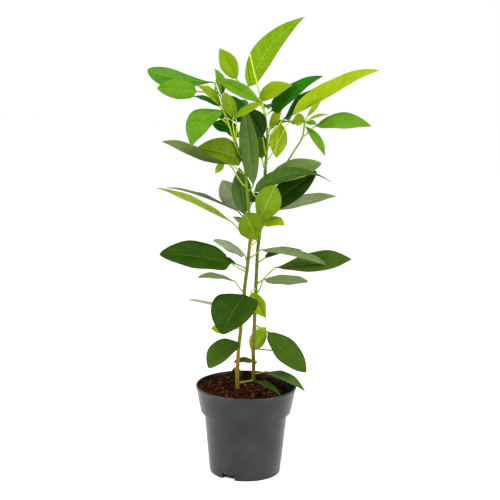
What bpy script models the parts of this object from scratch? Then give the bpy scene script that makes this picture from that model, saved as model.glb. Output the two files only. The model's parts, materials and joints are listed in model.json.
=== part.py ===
"""A young laurel fig with two stems, in a round nursery pot.

The origin is the centre of the pot's flat underside. +Z is up, +X is to the right and -Y is the
front. Bearings are degrees seen from above: 0 is +X, 90 the back, 180 the left and 270 the front.
Rises are degrees above the level. The schedules of stems and leaves are in millimetres.
"""

import math
import random
from collections import namedtuple

import bpy
import numpy as np

MM = 0.001
GAP = 0.3 * MM
ROOT_GAP = 0.5 * MM

# Pot
RIM_RADIUS = 85.0 * MM
POT_HEIGHT = 150.0 * MM
COLLAR_FOOT_RADIUS = 76.5 * MM
COLLAR_FOOT_Z = 106.0 * MM
BODY_TOP_RADIUS = 70.5 * MM
BODY_TOP_Z = 104.5 * MM
BASE_RADIUS = 60.0 * MM
BASE_FILLET = 2.5 * MM
WALL = 1.6 * MM
FLOOR = 3.0 * MM
LIP = 1.2 * MM
POT_STEPS = 48

# Notches in the pot's foot
NOTCH_COUNT = 3
NOTCH_BEARING = 242.0
NOTCH_WIDTH = 24.0 * MM
NOTCH_HEIGHT = 8.0 * MM
NOTCH_REACH = 8.0 * MM

# Potting soil
SOIL_TOP = 141.0 * MM
SOIL_DIP = 12.0 * MM
SOIL_RISE = 5.0 * MM
SOIL_LUMP = 1.2 * MM
SOIL_STEPS = 32
SOIL_RINGS = 6
FLAT_ROUND_STEM = 15.0 * MM

# Stems and shoots: points on the centre line, then radii at foot and tip
LEFT_STEM = [
    (-15, 5, 141), (-15, 5, 185), (-10, 4, 258), (-4, 3, 325),
    (2, 3, 384), (3, 2, 408), (0, 2, 445), (-5, 1, 500),
]
RIGHT_STEM = [
    (13, 54, 141), (11, 47, 205), (13, 41, 263), (14, 35, 318),
    (15, 31, 358), (18, 26, 400), (22, 22, 440), (25, 16, 495),
]
SIDE_SHOOT = [(42, 10, 501), (58, 2, 523), (70, -5, 544), (81, -9, 562)]
SIDE_SHOOT_NODE = 481
SIDE_SHOOT_BEARING = 335.0
STEM_RADII = (3.3, 2.5)
SIDE_SHOOT_RADII = (1.7, 1.3)
STEM_SIDES = 10
STEM_RINGS = 22
SHOOT_SIDES = 8
SHOOT_RINGS = 8

# Leaders: the soft ends of the stems, which the crown masses grow from
LEFT_LEADER = [
    (-5, 1, 500), (-8, 0, 521), (-17, -2, 544), (-30, -4, 577), (-39, -6, 597),
    (-45, -7, 622), (-50, -9, 637), (-58, -11, 643), (-67, -12, 650),
]
RIGHT_LEADER = [
    (25, 16, 495), (27, 12, 535), (29, 9, 562), (26, 6, 589), (23, 4, 607),
    (18, 2, 626), (11, 1, 652), (4, 0, 677), (-1, 0, 697),
]
SIDE_LEADER = [(81, -9, 562), (85, -10, 572), (88, -13, 595)]
LEFT_LEADER_RADII = (2.3, 0.8)
RIGHT_LEADER_RADII = (2.4, 1.0)
SIDE_LEADER_RADII = (1.2, 1.2)

# Leaves
PETIOLE_RADIUS = 1.2 * MM
LEAF_THICKNESS_SHARE = 1 / 90
LEAST_LEAF_THICKNESS = 0.8 * MM
BLADE_STATIONS = (0.05, 0.16, 0.32, 0.5, 0.67, 0.82, 0.94)
SMALL_BLADE_STATIONS = (0.08, 0.3, 0.55, 0.82)
SMALL_BLADE = 45 * MM
PETIOLE_STATIONS = (0.0, 0.4, 0.75)
RING_ANGLES = tuple(math.radians(a) for a in (150, 90, 30, -30, -90, -150))

# Colours by age: base colour and roughness
TONES = {
    "deep": ((0.012, 0.055, 0.008), 0.38),
    "mature": ((0.035, 0.105, 0.02), 0.4),
    "fresh": ((0.13, 0.30, 0.03), 0.42),
    "young": ((0.33, 0.48, 0.02), 0.45),
}

# One row a leaf. node: height of its node on the stem. stalk: length, bearing and rise of the way
# from the stem's centre to the blade. blade: length, bearing and rise from base to tip. width.
# faces: bearing and rise of the upper side. arch: how far the midrib bows towards that side.
# fold: degrees that each half is raised. twist: degrees turned from base to tip. tone: a name above.
# widest: the share of the length where the blade is broadest.
Leaf = namedtuple(
    "Leaf", "name node stalk blade width faces arch fold twist tone widest", defaults=(0.5,)
)

LEFT_STEM_LEAVES = [
    Leaf("rim_front_leaf", 152, (29, 341, 13), (72, 309, -5), 16, (300, 70), 3, 16, 0, "mature"),
    Leaf("low_stub_leaf", 166, (14, 118, 46), (29, 66, -72), 22, (290, 5), 1, 8, 0, "mature"),
    Leaf("low_left_leaf", 217, (17, 273, 31), (70, 215, -29), 43, (262, 52), 12, 18, 0, "mature", 0.58),
    Leaf("bud_leaf", 247, (30, 204, -5), (26, 212, 19), 16, (300, 40), 0, 10, 0, "young"),
    Leaf("left_tiny_leaf", 272, (25, 170, 19), (74, 159, 6), 28, (59, 62), 0, 8, 0, "mature"),
    Leaf("front_round_leaf", 306, (18, 275, 10), (89, 241, -35), 78, (255, 48), 6, 14, 0, "mature", 0.46),
    Leaf("left_small_leaf", 311, (25, 190, 45), (66, 158, 0), 34, (67, 60), 4, 8, 0, "mature"),
    Leaf("left_long_leaf", 345, (32, 202, 28), (120, 191, 9), 58, (285, 48), 6, 12, 0, "mature"),
    Leaf("left_pale_leaf", 363, (12, 140, 48), (60, 159, 20), 44, (55, 50), -2, 10, 0, "mature", 0.46),
    Leaf("right_rolled_leaf", 368, (27, 348, 33), (109, 0, -12), 30, (90, 56), 2, 34, 0, "mature"),
    Leaf("mid_light_leaf", 394, (46, 322, 64), (68, 315, 61), 45, (68, 15), 0, 14, 0, "young", 0.48),
    Leaf("mid_front_leaf", 389, (21, 308, 32), (54, 235, 56), 46, (285, 5), 3, 8, 0, "fresh", 0.66),
    Leaf("mid_left_edge_leaf", 400, (46, 194, 42), (133, 184, 25), 42, (60, 62), 2, 10, 0, "fresh"),
    Leaf("mid_left_back_leaf", 428, (30, 156, 37), (123, 171, 17), 30, (55, 68), 3, 10, 0, "mature"),
    Leaf("mid_dark_leaf", 434, (11, 165, 34), (78, 128, 79), 34, (270, 20), 0, 10, 0, "deep"),
    Leaf("mid_round_leaf", 442, (25, 120, 2), (69, 130, 41), 42, (90, -40), -3, 8, 0, "mature"),
    Leaf("upper_erect_leaf", 480, (16, 330, 44), (126, 204, 82), 31, (270, 8), 3, 10, 0, "mature"),
    Leaf("upper_edge_leaf", 487, (49, 192, 50), (115, 173, 21), 40, (300, 66), -5, 8, 0, "mature"),
]

RIGHT_STEM_LEAVES = [
    Leaf("rim_right_leaf", 154, (27, 331, 15), (91, 315, -8), 31, (298, 72), 4, 16, 0, "mature", 0.4),
    Leaf("low_back_leaf", 169, (12, 60, 20), (43, 162, -7), 32, (81, 56), 2, 6, 0, "fresh"),
    Leaf("hidden_stalk_leaf", 199, (37, 20, -8), (79, 46, -14), 34, (60, 70), 4, 10, 0, "mature"),
    Leaf("low_yellow_leaf", 236, (25, 35, -5), (48, 168, -58), 29, (255, 15), 2, 10, 0, "young"),
    Leaf("low_right_leaf", 242, (26, 340, -19), (95, 340, -42), 53, (300, 40), -5, 16, 0, "mature"),
    Leaf("right_small_leaf", 301, (28, 352, 59), (78, 15, -5), 42, (100, 54), -1, 6, 0, "mature"),
    Leaf("hanging_light_leaf", 308, (21, 248, -6), (52, 338, -57), 28, (250, 22), 0, 16, 0, "fresh", 0.46),
    Leaf("right_long_leaf", 318, (46, 342, 40), (128, 349, 10), 46, (270, 50), -1, 14, 0, "mature", 0.6),
    Leaf("mid_curl_leaf", 402, (41, 278, 47), (43, 319, 6), 28, (240, 60), -4, 8, 0, "fresh"),
    Leaf("mid_far_right_leaf", 414, (37, 25, 54), (112, 11, 12), 45, (90, 54), 2, 8, 0, "mature"),
    Leaf("mid_lower_right_leaf", 435, (13, 47, 43), (107, 7, 38), 46, (270, 40), 2, 10, 0, "deep"),
    Leaf("mid_arch_leaf", 459, (40, 243, 32), (127, 354, 12), 32, (90, 44), 24, 8, 50, "fresh", 0.4),
    Leaf("mid_upper_right_leaf", 484, (16, 59, 42), (96, 13, 17), 45, (262, 48), 2, 10, 0, "mature"),
]

LEFT_CROWN_LEAVES = [
    Leaf("upper_folded", 514, (18, 200, 69), (82, 202, 16), 52, (270, 42), 6, 18, 0, "fresh", 0.42),
    Leaf("upper_tip", 506, (44, 159, 28), (25, 203, -52), 12, (270, 10), 0, 6, 0, "young"),
    Leaf("long_tip", 636, (24, 158, 58), (107, 190, 10), 34, (105, -27), 2, 8, 0, "fresh", 0.66),
    Leaf("broad_front", 640, (36, 202, 4), (64, 196, 5), 34, (285, 18), 4, 8, 0, "fresh"),
    Leaf("folded_small", 617, (6, 238, 25), (53, 206, 39), 22, (270, 50), 2, 20, 0, "young"),
    Leaf("under_small", 612, (11, 149, 32), (47, 167, 20), 24, (270, 78), 2, 10, 0, "deep"),
    Leaf("twisted_small", 627, (10, 295, 74), (44, 209, 73), 22, (315, 12), 2, 16, 0, "fresh"),
    Leaf("bright_band", 643, (20, 54, 72), (82, 346, -26), 27, (272, 42), 1, 16, 0, "fresh"),
    Leaf("shade_behind", 541, (54, 79, 68), (55, 184, 55), 36, (270, 20), 0, 8, 0, "deep"),
    Leaf("pale_back", 559, (43, 269, 68), (50, 213, 63), 22, (120, 30), 0, 14, 0, "fresh"),
    Leaf("point_right", 559, (48, 262, 65), (53, 340, 28), 22, (270, 50), 0, 14, 0, "fresh"),
    Leaf("big_droop", 533, (88, 206, 65), (80, 213, -44), 56, (235, 35), 18, 8, 0, "fresh"),
    Leaf("dark_behind", 540, (39, 108, 66), (53, 147, 14), 30, (270, 45), 2, 8, 0, "deep"),
]

RIGHT_CROWN_LEAVES = [
    Leaf("top_sword", 625, (33, 174, 46), (145, 353, 52), 47, (115, 27), 22, 8, 0, "young", 0.38),
    Leaf("top_oval", 624, (56, 178, 42), (57, 200, 59), 30, (280, 15), 0, 10, 0, "young"),
    Leaf("light_right", 617, (17, 214, 60), (59, 347, 24), 34, (255, 42), 3, 10, 0, "young", 0.42),
    Leaf("mid_dark_right", 604, (14, 340, 34), (99, 350, 38), 34, (270, 48), 5, 12, 0, "deep", 0.3),
    Leaf("great_right", 568, (42, 338, 48), (171, 350, 31), 58, (90, 85), -4, 52, -64, "young", 0.33),
    Leaf("dark_left_shade", 538, (32, 224, 72), (56, 192, 60), 40, (270, 15), 0, 8, 0, "deep"),
    Leaf("hanging_yellow", 550, (46, 8, 62), (57, 225, -81), 30, (262, 8), 0, 10, 0, "young"),
    Leaf("pale_behind", 572, (16, 73, 25), (45, 33, 61), 16, (90, 30), 0, 10, 0, "mature"),
    Leaf("low_shade", 512, (21, 125, 64), (50, 157, 78), 26, (281, 7), 0, 8, 0, "deep"),
    Leaf("stalked_small", 527, (84, 338, 57), (20, 348, 3), 22, (260, 30), 0, 10, 0, "fresh"),
]

SIDE_CROWN_LEAVES = [
    Leaf("bud", 593, (12, 331, 70), (35, 345, 50), 9, (260, 28), 0, 20, 0, "young"),
    Leaf("pale_narrow", 592, (11, 342, 48), (32, 349, 17), 9, (260, 55), 1, 20, 0, "young"),
    Leaf("small_right", 590, (7, 305, 45), (18, 337, -4), 12, (265, 48), 1, 10, 0, "fresh"),
    Leaf("narrow_hanging", 588, (4, 316, 4), (56, 347, -54), 18, (300, 28), 4, 10, 0, "fresh"),
    Leaf("arched_right", 571, (28, 349, 41), (90, 352, 2), 36, (270, 48), 10, 10, 0, "fresh"),
]

# Leaves at the back: heights and bearings of their nodes. A seeded rule sets their sizes.
BACK_SEED = 7
BACK_NODES = {
    "left_stem": ((250, 116), (350, 148), (425, 103), (449, 74)),
    "right_stem": ((262, 126), (354, 40), (423, 76), (474, 72)),
    "left_crown": ((560, 88), (590, 118), (622, 66)),
    "right_crown": ((545, 100), (580, 62), (612, 84)),
}
BACK_SWAY = 6.0
BACK_RISE = (-10, 8)
BACK_STALK = (18, 26)
BACK_LIFT = 14.0
BACK_LENGTH = (68, 92)
BACK_WIDTH_SHARE = 0.42


def direction(bearing, rise):
    """The unit vector with this bearing and rise, in degrees."""
    turn = math.radians(bearing)
    up = math.radians(rise)
    return np.array([math.cos(up) * math.cos(turn), math.cos(up) * math.sin(turn), math.sin(up)])


def unit(vector):
    return vector / np.linalg.norm(vector)


def mitred(ring, centre, along, normal):
    """The ring slid along its limb until it lies in the plane through the centre with this normal."""
    return ring - np.outer((ring - centre) @ normal, along) / along.dot(normal)


def clear_scene():
    for obj in list(bpy.data.objects):
        bpy.data.objects.remove(obj)


def make_material(name, colour, roughness):
    """A Principled material of one plain colour."""
    found = bpy.data.materials.get(name)
    if found:
        return found
    material = bpy.data.materials.new(name)
    material.use_nodes = True
    shader = material.node_tree.nodes["Principled BSDF"]
    shader.inputs["Base Color"].default_value = (*colour, 1.0)
    shader.inputs["Roughness"].default_value = roughness
    shader.inputs["Metallic"].default_value = 0.0
    return material


def add_object(name, verts, faces, material):
    """A mesh object with its place in its mesh."""
    mesh = bpy.data.meshes.new(name)
    mesh.from_pydata([tuple(v) for v in verts], [], faces)
    mesh.update()
    obj = bpy.data.objects.new(name, mesh)
    bpy.context.scene.collection.objects.link(obj)
    obj.data.materials.append(material)
    return obj


def loft(name, rings, material):
    """A closed skin over rings of equally many points, with a cap on the first and the last."""
    count, sides = len(rings), len(rings[0])
    verts = np.concatenate(rings)
    faces = []
    for i in range(count - 1):
        for j in range(sides):
            k = (j + 1) % sides
            faces.append((i * sides + j, i * sides + k, (i + 1) * sides + k, (i + 1) * sides + j))
    faces.append(tuple(reversed(range(sides))))
    last = (count - 1) * sides
    faces.append(tuple(last + j for j in range(sides)))
    return add_object(name, verts, faces, material)


def smooth_path(points, count):
    """Points evenly spread along a Catmull-Rom curve through the given ones, in metres."""
    knots = np.array(points, float) * MM
    padded = np.concatenate([[2 * knots[0] - knots[1]], knots, [2 * knots[-1] - knots[-2]]])
    fine = []
    for a, b, c, d in zip(padded, padded[1:], padded[2:], padded[3:]):
        for t in np.linspace(0, 1, 12, endpoint=False):
            bend = 2 * a - 5 * b + 4 * c - d
            swing = 3 * b - a - 3 * c + d
            fine.append((2 * b + (c - a) * t + bend * t**2 + swing * t**3) / 2)
    fine = np.array(fine + [knots[-1]])
    along = np.concatenate([[0], np.cumsum(np.linalg.norm(np.diff(fine, axis=0), axis=1))])
    spots = np.linspace(0, along[-1], count)
    return np.stack([np.interp(spots, along, fine[:, axis]) for axis in range(3)], axis=1)


class Limb:
    """One tapering limb: its centre line, its radii and the solid made from them."""

    def __init__(self, points, radii, rings, sides):
        self.path = smooth_path(points, rings)
        self.radii = np.linspace(radii[0], radii[1], rings) * MM
        self.sides = sides

    def at_height(self, height):
        """The centre and the radius at this height in millimetres."""
        heights = self.path[:, 2]
        centre = [np.interp(height * MM, heights, self.path[:, axis]) for axis in range(3)]
        return np.array(centre), float(np.interp(height * MM, heights, self.radii))

    def build(self, name, material, foot=(0.0, 0.0, 1.0)):
        """The solid: rings square to the centre line, its foot cut square to the given direction.

        The foot stands a gap off what carries it, and the tip is cut level.
        """
        turns = np.arange(self.sides) * 2 * math.pi / self.sides
        along = [unit(tangent) for tangent in np.gradient(self.path, axis=0)]
        rings = []
        for centre, radius, forward in zip(self.path, self.radii, along):
            side = unit(np.cross(forward, [0.0, 1.0, 0.0]))
            front = np.cross(forward, side)
            spokes = np.outer(np.cos(turns), side) + np.outer(np.sin(turns), front)
            rings.append(centre + radius * spokes)
        foot = np.array(foot)
        rings[0] = mitred(rings[0], self.path[0], along[0], foot) + GAP * foot
        rings[-1] = mitred(rings[-1], self.path[-1], along[-1], np.array([0.0, 0.0, 1.0]))
        return loft(name, rings, material)


def outline(t, widest):
    """Half-width of a blade as a share of its widest: full at the base, tapered to the tip."""
    wave = math.sin(math.pi * t ** (math.log(0.5) / math.log(widest)))
    return wave**0.7 if t < widest else wave**0.95


def leaf_rings(leaf, root, base):
    """Six-sided rings from the petiole's root, along the petiole and out over the blade.

    Each ring holds the left edge, midrib and right edge of the upper side, then the same of the
    underside in return. The petiole is round, so its rings are plain hexagons.
    """
    length = leaf.blade[0] * MM
    chord = direction(*leaf.blade[1:])
    face = direction(*leaf.faces)
    normal = unit(face - face.dot(chord) * chord)
    tip = base + length * chord
    bow = leaf.arch * MM * normal
    setting_out = unit(length * chord + 4 * bow)
    gap = base - root
    reach = np.linalg.norm(gap)
    leaving = unit(unit(gap) + 0.4 * unit(gap * np.array([1.0, 1.0, 0.0])))
    handles = [root, root + 0.3 * reach * leaving, base - 0.15 * reach * setting_out, base]
    centres = []
    for t in PETIOLE_STATIONS:
        weights = [(1 - t) ** 3, 3 * t * (1 - t) ** 2, 3 * t * t * (1 - t), t**3]
        centres.append(sum(w * handle for w, handle in zip(weights, handles)))
    stations = BLADE_STATIONS if length > SMALL_BLADE else SMALL_BLADE_STATIONS
    ts = (0.0,) + stations + (1.0,)
    centres += [base + (tip - base) * t + 4 * t * (1 - t) * bow for t in ts]
    centres = np.array(centres)
    tangents = np.gradient(centres, axis=0)
    thickness = max(LEAST_LEAF_THICKNESS, length * LEAF_THICKNESS_SHARE)
    petiole = PETIOLE_RADIUS * min(1.0, 0.6 + 5 * length)
    rings = []
    for i, (centre, tangent) in enumerate(zip(centres, tangents)):
        t = ts[max(0, i - len(PETIOLE_STATIONS))]
        forward = unit(tangent)
        up = unit(face - face.dot(forward) * forward)
        turn = math.radians(leaf.twist) * (t - 0.5)
        right = np.cross(forward, up)
        sine, cosine = math.sin(turn), math.cos(turn)
        up, right = up * cosine + right * sine, right * cosine - up * sine
        if t == 0.0:
            ring = [centre + petiole * (math.cos(a) * right + math.sin(a) * up) for a in RING_ANGLES]
        else:
            half = max(leaf.width / 2 * MM * outline(t, leaf.widest), 0.35 * MM) if t < 1 else 0.35 * MM
            fold = math.radians(leaf.fold) * min(1.0, t / 0.2)
            lift = up * half * math.sin(fold)
            edge = right * half * math.cos(fold)
            half_edge = up * thickness / 2
            rib = up * (thickness / 2 + (0.0 if t == 1 else 0.4 * MM))
            ring = [
                centre - edge + lift + half_edge,
                centre + half_edge,
                centre + edge + lift + half_edge,
                centre + edge + lift - half_edge,
                centre - rib,
                centre - edge + lift - half_edge,
            ]
        rings.append(np.array(ring))
    return rings


def leaf_object(name, leaf, limb, sunk):
    """A leaf on its limb: sunk into it where the two are fused, else clear of its skin."""
    centre, radius = limb.at_height(leaf.node)
    base = centre + leaf.stalk[0] * MM * direction(*leaf.stalk[1:])
    level = direction(leaf.stalk[1], 0.0)
    root = centre if sunk else centre + (radius + ROOT_GAP) * level
    rings = leaf_rings(leaf, root, base)
    if not sunk:
        along = unit(rings[1].mean(axis=0) - root)
        rings[0] = mitred(rings[0], root, along, level)
    colour, roughness = TONES[leaf.tone]
    return loft(name, rings, make_material(leaf.tone + "_leaf", colour, roughness))


def back_leaves(stem_name, tone):
    """Leaves that point away at the back of one stem, each size drawn from its range."""
    rng = random.Random(BACK_SEED + len(stem_name))
    rows = []
    for index, (node, bearing) in enumerate(BACK_NODES[stem_name]):
        rise = rng.uniform(*BACK_RISE)
        length = rng.uniform(*BACK_LENGTH)
        sway = rng.uniform(-BACK_SWAY, BACK_SWAY)
        stalk = (rng.uniform(*BACK_STALK), bearing + sway, rise + BACK_LIFT)
        blade = (length, bearing, rise)
        name = f"{stem_name}_back_leaf_{index + 1}"
        width = BACK_WIDTH_SHARE * length
        rows.append(Leaf(name, node, stalk, blade, width, (bearing + 180, 75), 5, 12, 0, tone))
    return rows


def fused_crown(name, leader, leaves, material):
    """The soft end of a stem and its leaves, joined into one solid."""
    stem = leader.build(name, material)
    parts = bpy.data.collections.new(name + "_leaves")
    bpy.context.scene.collection.children.link(parts)
    for leaf in leaves:
        piece = leaf_object(name + "_" + leaf.name, leaf, leader, True)
        bpy.context.scene.collection.objects.unlink(piece)
        parts.objects.link(piece)
    join = stem.modifiers.new("join", "BOOLEAN")
    join.operation = "UNION"
    join.operand_type = "COLLECTION"
    join.collection = parts
    join.solver = "EXACT"
    bpy.context.view_layer.update()
    graph = bpy.context.evaluated_depsgraph_get()
    joined = bpy.data.meshes.new_from_object(stem.evaluated_get(graph))
    stem.modifiers.clear()
    stem.data = joined
    for piece in list(parts.objects):
        bpy.data.objects.remove(piece)
    bpy.data.collections.remove(parts)
    return stem


def pot_profile():
    """Half of the pot's section as radius and height, from the floor's centre round to below it."""
    inner_corner = BASE_RADIUS - WALL
    return [
        (0.0, FLOOR),
        (inner_corner, FLOOR),
        (BODY_TOP_RADIUS - WALL, BODY_TOP_Z + WALL),
        (COLLAR_FOOT_RADIUS - WALL, COLLAR_FOOT_Z + WALL),
        (RIM_RADIUS - LIP - WALL, POT_HEIGHT - LIP),
        (RIM_RADIUS - LIP - WALL / 2, POT_HEIGHT),
        (RIM_RADIUS - LIP / 2, POT_HEIGHT),
        (RIM_RADIUS, POT_HEIGHT - LIP / 2),
        (RIM_RADIUS, POT_HEIGHT - 3 * LIP),
        (RIM_RADIUS - LIP, POT_HEIGHT - 4 * LIP),
        (COLLAR_FOOT_RADIUS, COLLAR_FOOT_Z),
        (BODY_TOP_RADIUS, BODY_TOP_Z),
        (BASE_RADIUS, BASE_FILLET),
        (BASE_RADIUS - 0.7 * BASE_FILLET, 0.3 * BASE_FILLET),
        (BASE_RADIUS - BASE_FILLET, 0.0),
        (0.0, 0.0),
    ]


def notch_cutter(index, material):
    """A block that cuts one notch through the pot's foot."""
    bearing = NOTCH_BEARING + index * 360 / NOTCH_COUNT
    out = direction(bearing, 0)
    side = direction(bearing + 90, 0)
    corners = []
    for z in (-NOTCH_HEIGHT, NOTCH_HEIGHT):
        for reach in (BASE_RADIUS - NOTCH_REACH, BASE_RADIUS + NOTCH_REACH):
            for half in (-NOTCH_WIDTH / 2, NOTCH_WIDTH / 2):
                corners.append(out * reach + side * half + np.array([0, 0, z]))
    faces = [(0, 1, 3, 2), (4, 6, 7, 5), (0, 4, 5, 1), (2, 3, 7, 6), (0, 2, 6, 4), (1, 5, 7, 3)]
    cutter = add_object(f"notch_cutter_{index}", corners, faces, material)
    cutter.hide_render = True
    cutter.display_type = "WIRE"
    return cutter


def build_pot():
    """The pot: a turned wall with a collar, cut by notches at its foot."""
    material = make_material("pot_plastic", (0.055, 0.055, 0.054), 0.42)
    profile = pot_profile()
    verts = [(radius, 0.0, z) for radius, z in profile]
    edges = [(i, i + 1) for i in range(len(verts) - 1)]
    mesh = bpy.data.meshes.new("pot")
    mesh.from_pydata(verts, edges, [])
    pot = bpy.data.objects.new("pot", mesh)
    bpy.context.scene.collection.objects.link(pot)
    mesh.materials.append(material)
    turn = pot.modifiers.new("turn", "SCREW")
    turn.steps = POT_STEPS
    turn.render_steps = POT_STEPS
    turn.use_merge_vertices = True
    turn.merge_threshold = 0.00001
    turn.use_smooth_shade = True
    for index in range(NOTCH_COUNT):
        cut = pot.modifiers.new(f"notch_{index}", "BOOLEAN")
        cut.operation = "DIFFERENCE"
        cut.solver = "EXACT"
        cut.object = notch_cutter(index, material)
    return pot


def soil_height(x, y):
    """The soil's top: gently lumpy, low on the right, heaped at the back left, level round each stem."""
    lumps = SOIL_LUMP * (np.sin(x / (9 * MM) + 1.0) * np.cos(y / (11 * MM)) - 0.3)
    dip = SOIL_DIP * np.clip((0.95 * x - 0.3 * y - 20 * MM) / (40 * MM), 0, 1)
    heap = SOIL_RISE * np.clip((0.7 * (y - x) - 12 * MM) / (30 * MM), 0, 1)
    away = np.ones_like(x)
    for stem in (LEFT_STEM, RIGHT_STEM):
        distance = np.hypot(x - stem[0][0] * MM, y - stem[0][1] * MM)
        away = away * np.clip(distance / FLAT_ROUND_STEM - 1, 0, 1)
    return SOIL_TOP + (lumps - dip + heap) * away


def build_soil():
    """The soil: a plug that fills the pot a gap clear of its wall, with an uneven top."""
    turns = np.arange(SOIL_STEPS) * 2 * math.pi / SOIL_STEPS
    wheel = np.stack([np.cos(turns), np.sin(turns), np.zeros(SOIL_STEPS)], axis=1)
    wall = WALL + 2 * GAP
    slope = (RIM_RADIUS - LIP - COLLAR_FOOT_RADIUS) / (POT_HEIGHT - COLLAR_FOOT_Z)
    stations = [
        (BASE_RADIUS - wall - NOTCH_REACH, FLOOR + GAP),
        (BASE_RADIUS - wall - 2 * GAP, FLOOR + NOTCH_HEIGHT),
        (BODY_TOP_RADIUS - wall, BODY_TOP_Z + WALL + GAP),
        (COLLAR_FOOT_RADIUS - wall, COLLAR_FOOT_Z + WALL + 2 * GAP),
    ]
    rings = [wheel * radius + np.array([0, 0, z]) for radius, z in stations]
    brim = soil_height(*(wheel[:, :2].T * (COLLAR_FOOT_RADIUS + 2 * MM)))
    edge = COLLAR_FOOT_RADIUS - wall + slope * (brim[:, None] - COLLAR_FOOT_Z - WALL)
    for share in np.linspace(1.0, 0.0, SOIL_RINGS, endpoint=False):
        ring = wheel * edge * share
        ring[:, 2] = soil_height(ring[:, 0], ring[:, 1])
        rings.append(ring)
    soil = loft("soil", rings, make_material("soil", (0.05, 0.018, 0.009), 0.95))
    return soil


def main():
    clear_scene()
    bark = make_material("stem_bark", (0.30, 0.19, 0.05), 0.6)
    green = make_material("green_stem", (0.20, 0.32, 0.04), 0.5)
    build_pot()
    build_soil()
    left = Limb(LEFT_STEM, STEM_RADII, STEM_RINGS, STEM_SIDES)
    right = Limb(RIGHT_STEM, STEM_RADII, STEM_RINGS, STEM_SIDES)
    left.build("left_stem", bark)
    right.build("right_stem", bark)
    outwards = direction(SIDE_SHOOT_BEARING, 0)
    centre, radius = right.at_height(SIDE_SHOOT_NODE)
    foot = (centre + (radius + GAP) * outwards) / MM
    side = Limb([foot] + SIDE_SHOOT, SIDE_SHOOT_RADII, SHOOT_RINGS, SHOOT_SIDES)
    side.build("side_shoot", green, foot=outwards)
    stems = (
        ("left_stem", left, LEFT_STEM_LEAVES),
        ("right_stem", right, RIGHT_STEM_LEAVES),
    )
    for name, stem, leaves in stems:
        for leaf in leaves + back_leaves(name, "mature"):
            leaf_object(leaf.name, leaf, stem, False)
    crowns = (
        ("left_crown", LEFT_LEADER, LEFT_LEADER_RADII, LEFT_CROWN_LEAVES),
        ("right_crown", RIGHT_LEADER, RIGHT_LEADER_RADII, RIGHT_CROWN_LEAVES),
        ("side_crown", SIDE_LEADER, SIDE_LEADER_RADII, SIDE_CROWN_LEAVES),
    )
    for name, points, radii, leaves in crowns:
        leader = Limb(points, radii, SHOOT_RINGS * 2, SHOOT_SIDES)
        if name in BACK_NODES:
            leaves = leaves + back_leaves(name, "fresh")
        fused_crown(name, leader, leaves, green)


main()
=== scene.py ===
"""The finish of a young laurel fig with two stems, in a round nursery pot.

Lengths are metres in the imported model's frame: the origin is the centre of the pot's flat underside,
+Z is up, +X is to the right and -Y is the front. Bearings are degrees seen from above: 0 is +X, 90 the
back, 180 the left and 270 the front. Rises are degrees above the level. The schedules of stems and
leaves are in millimetres.
"""

import json
import logging
import math
import random
from collections.abc import Sequence
from dataclasses import dataclass
from enum import Enum

import bpy
import numpy as np
from mathutils import Matrix, Vector


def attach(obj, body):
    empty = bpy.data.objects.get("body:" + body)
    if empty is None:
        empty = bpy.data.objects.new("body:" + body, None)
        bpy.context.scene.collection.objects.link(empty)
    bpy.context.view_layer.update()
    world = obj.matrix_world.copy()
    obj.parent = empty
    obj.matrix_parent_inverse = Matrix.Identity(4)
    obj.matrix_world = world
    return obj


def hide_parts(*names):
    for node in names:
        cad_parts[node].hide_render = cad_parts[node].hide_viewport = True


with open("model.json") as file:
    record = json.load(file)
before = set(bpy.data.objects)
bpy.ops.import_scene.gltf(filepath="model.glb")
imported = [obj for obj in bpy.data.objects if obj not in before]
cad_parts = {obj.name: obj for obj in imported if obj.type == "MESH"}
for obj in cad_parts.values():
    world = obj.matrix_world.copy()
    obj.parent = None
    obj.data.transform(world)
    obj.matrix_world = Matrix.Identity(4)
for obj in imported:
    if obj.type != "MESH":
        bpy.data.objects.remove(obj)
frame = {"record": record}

Colour = tuple[float, float, float]
Triple = tuple[float, float, float]

log = logging.getLogger("laurel_fig")

MM = 0.001
BODY = "root"
LEAF_MAP = "leaf"
BAKE_MAP = "OFBake"
SCAR = "scar"

# Side veins from the base of a leaf to its tip
VEINS = 11


def unit(vectors: np.ndarray) -> np.ndarray:
    """Scale vectors to length one along the last axis."""
    return vectors / np.linalg.norm(vectors, axis=-1, keepdims=True)


def dots(first: np.ndarray, second: np.ndarray) -> np.ndarray:
    """Dot products along the last axis, which is kept."""
    return (first * second).sum(axis=-1, keepdims=True)


def smoothstep(value: np.ndarray) -> np.ndarray:
    """Ease from 0 to 1: three times the square less twice the cube, held at both ends."""
    held = np.clip(value, 0.0, 1.0)
    return held * held * (3.0 - 2.0 * held)


def direction(bearing: float, rise: float) -> np.ndarray:
    """The unit vector with this bearing and rise, in degrees."""
    turn, up = math.radians(bearing), math.radians(rise)
    return np.array([math.cos(up) * math.cos(turn), math.cos(up) * math.sin(turn), math.sin(up)])


def full_turn(count: int) -> np.ndarray:
    """Angles evenly spread over a full turn, in radians."""
    return np.linspace(0, 2 * math.pi, count, endpoint=False)


def spokes(forward: np.ndarray, beside: Triple, count: int) -> np.ndarray:
    """Directions square to a path, spread evenly round it.

    Each is the cosine of its turn times the path's side, plus the sine times the path's front.

    Args:
        forward: The path's direction at each point, with 3 as the last axis.
        beside: A direction that the path never takes.
        count: How many to spread round each point.

    Returns:
        One more axis, of the directions, before the last.
    """
    side = unit(np.cross(forward, beside))
    front = np.cross(forward, side)
    turns = full_turn(count)[:, None]
    return np.cos(turns) * side[..., None, :] + np.sin(turns) * front[..., None, :]


def show(name: str, data: bpy.types.ID) -> bpy.types.Object:
    """Put a mesh, a lamp or a camera into the scene.

    Args:
        name: The object's name.
        data: What the object shows.

    Returns:
        The new object.
    """
    shown = bpy.data.objects.new(name, data)
    bpy.context.scene.collection.objects.link(shown)
    return shown


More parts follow.
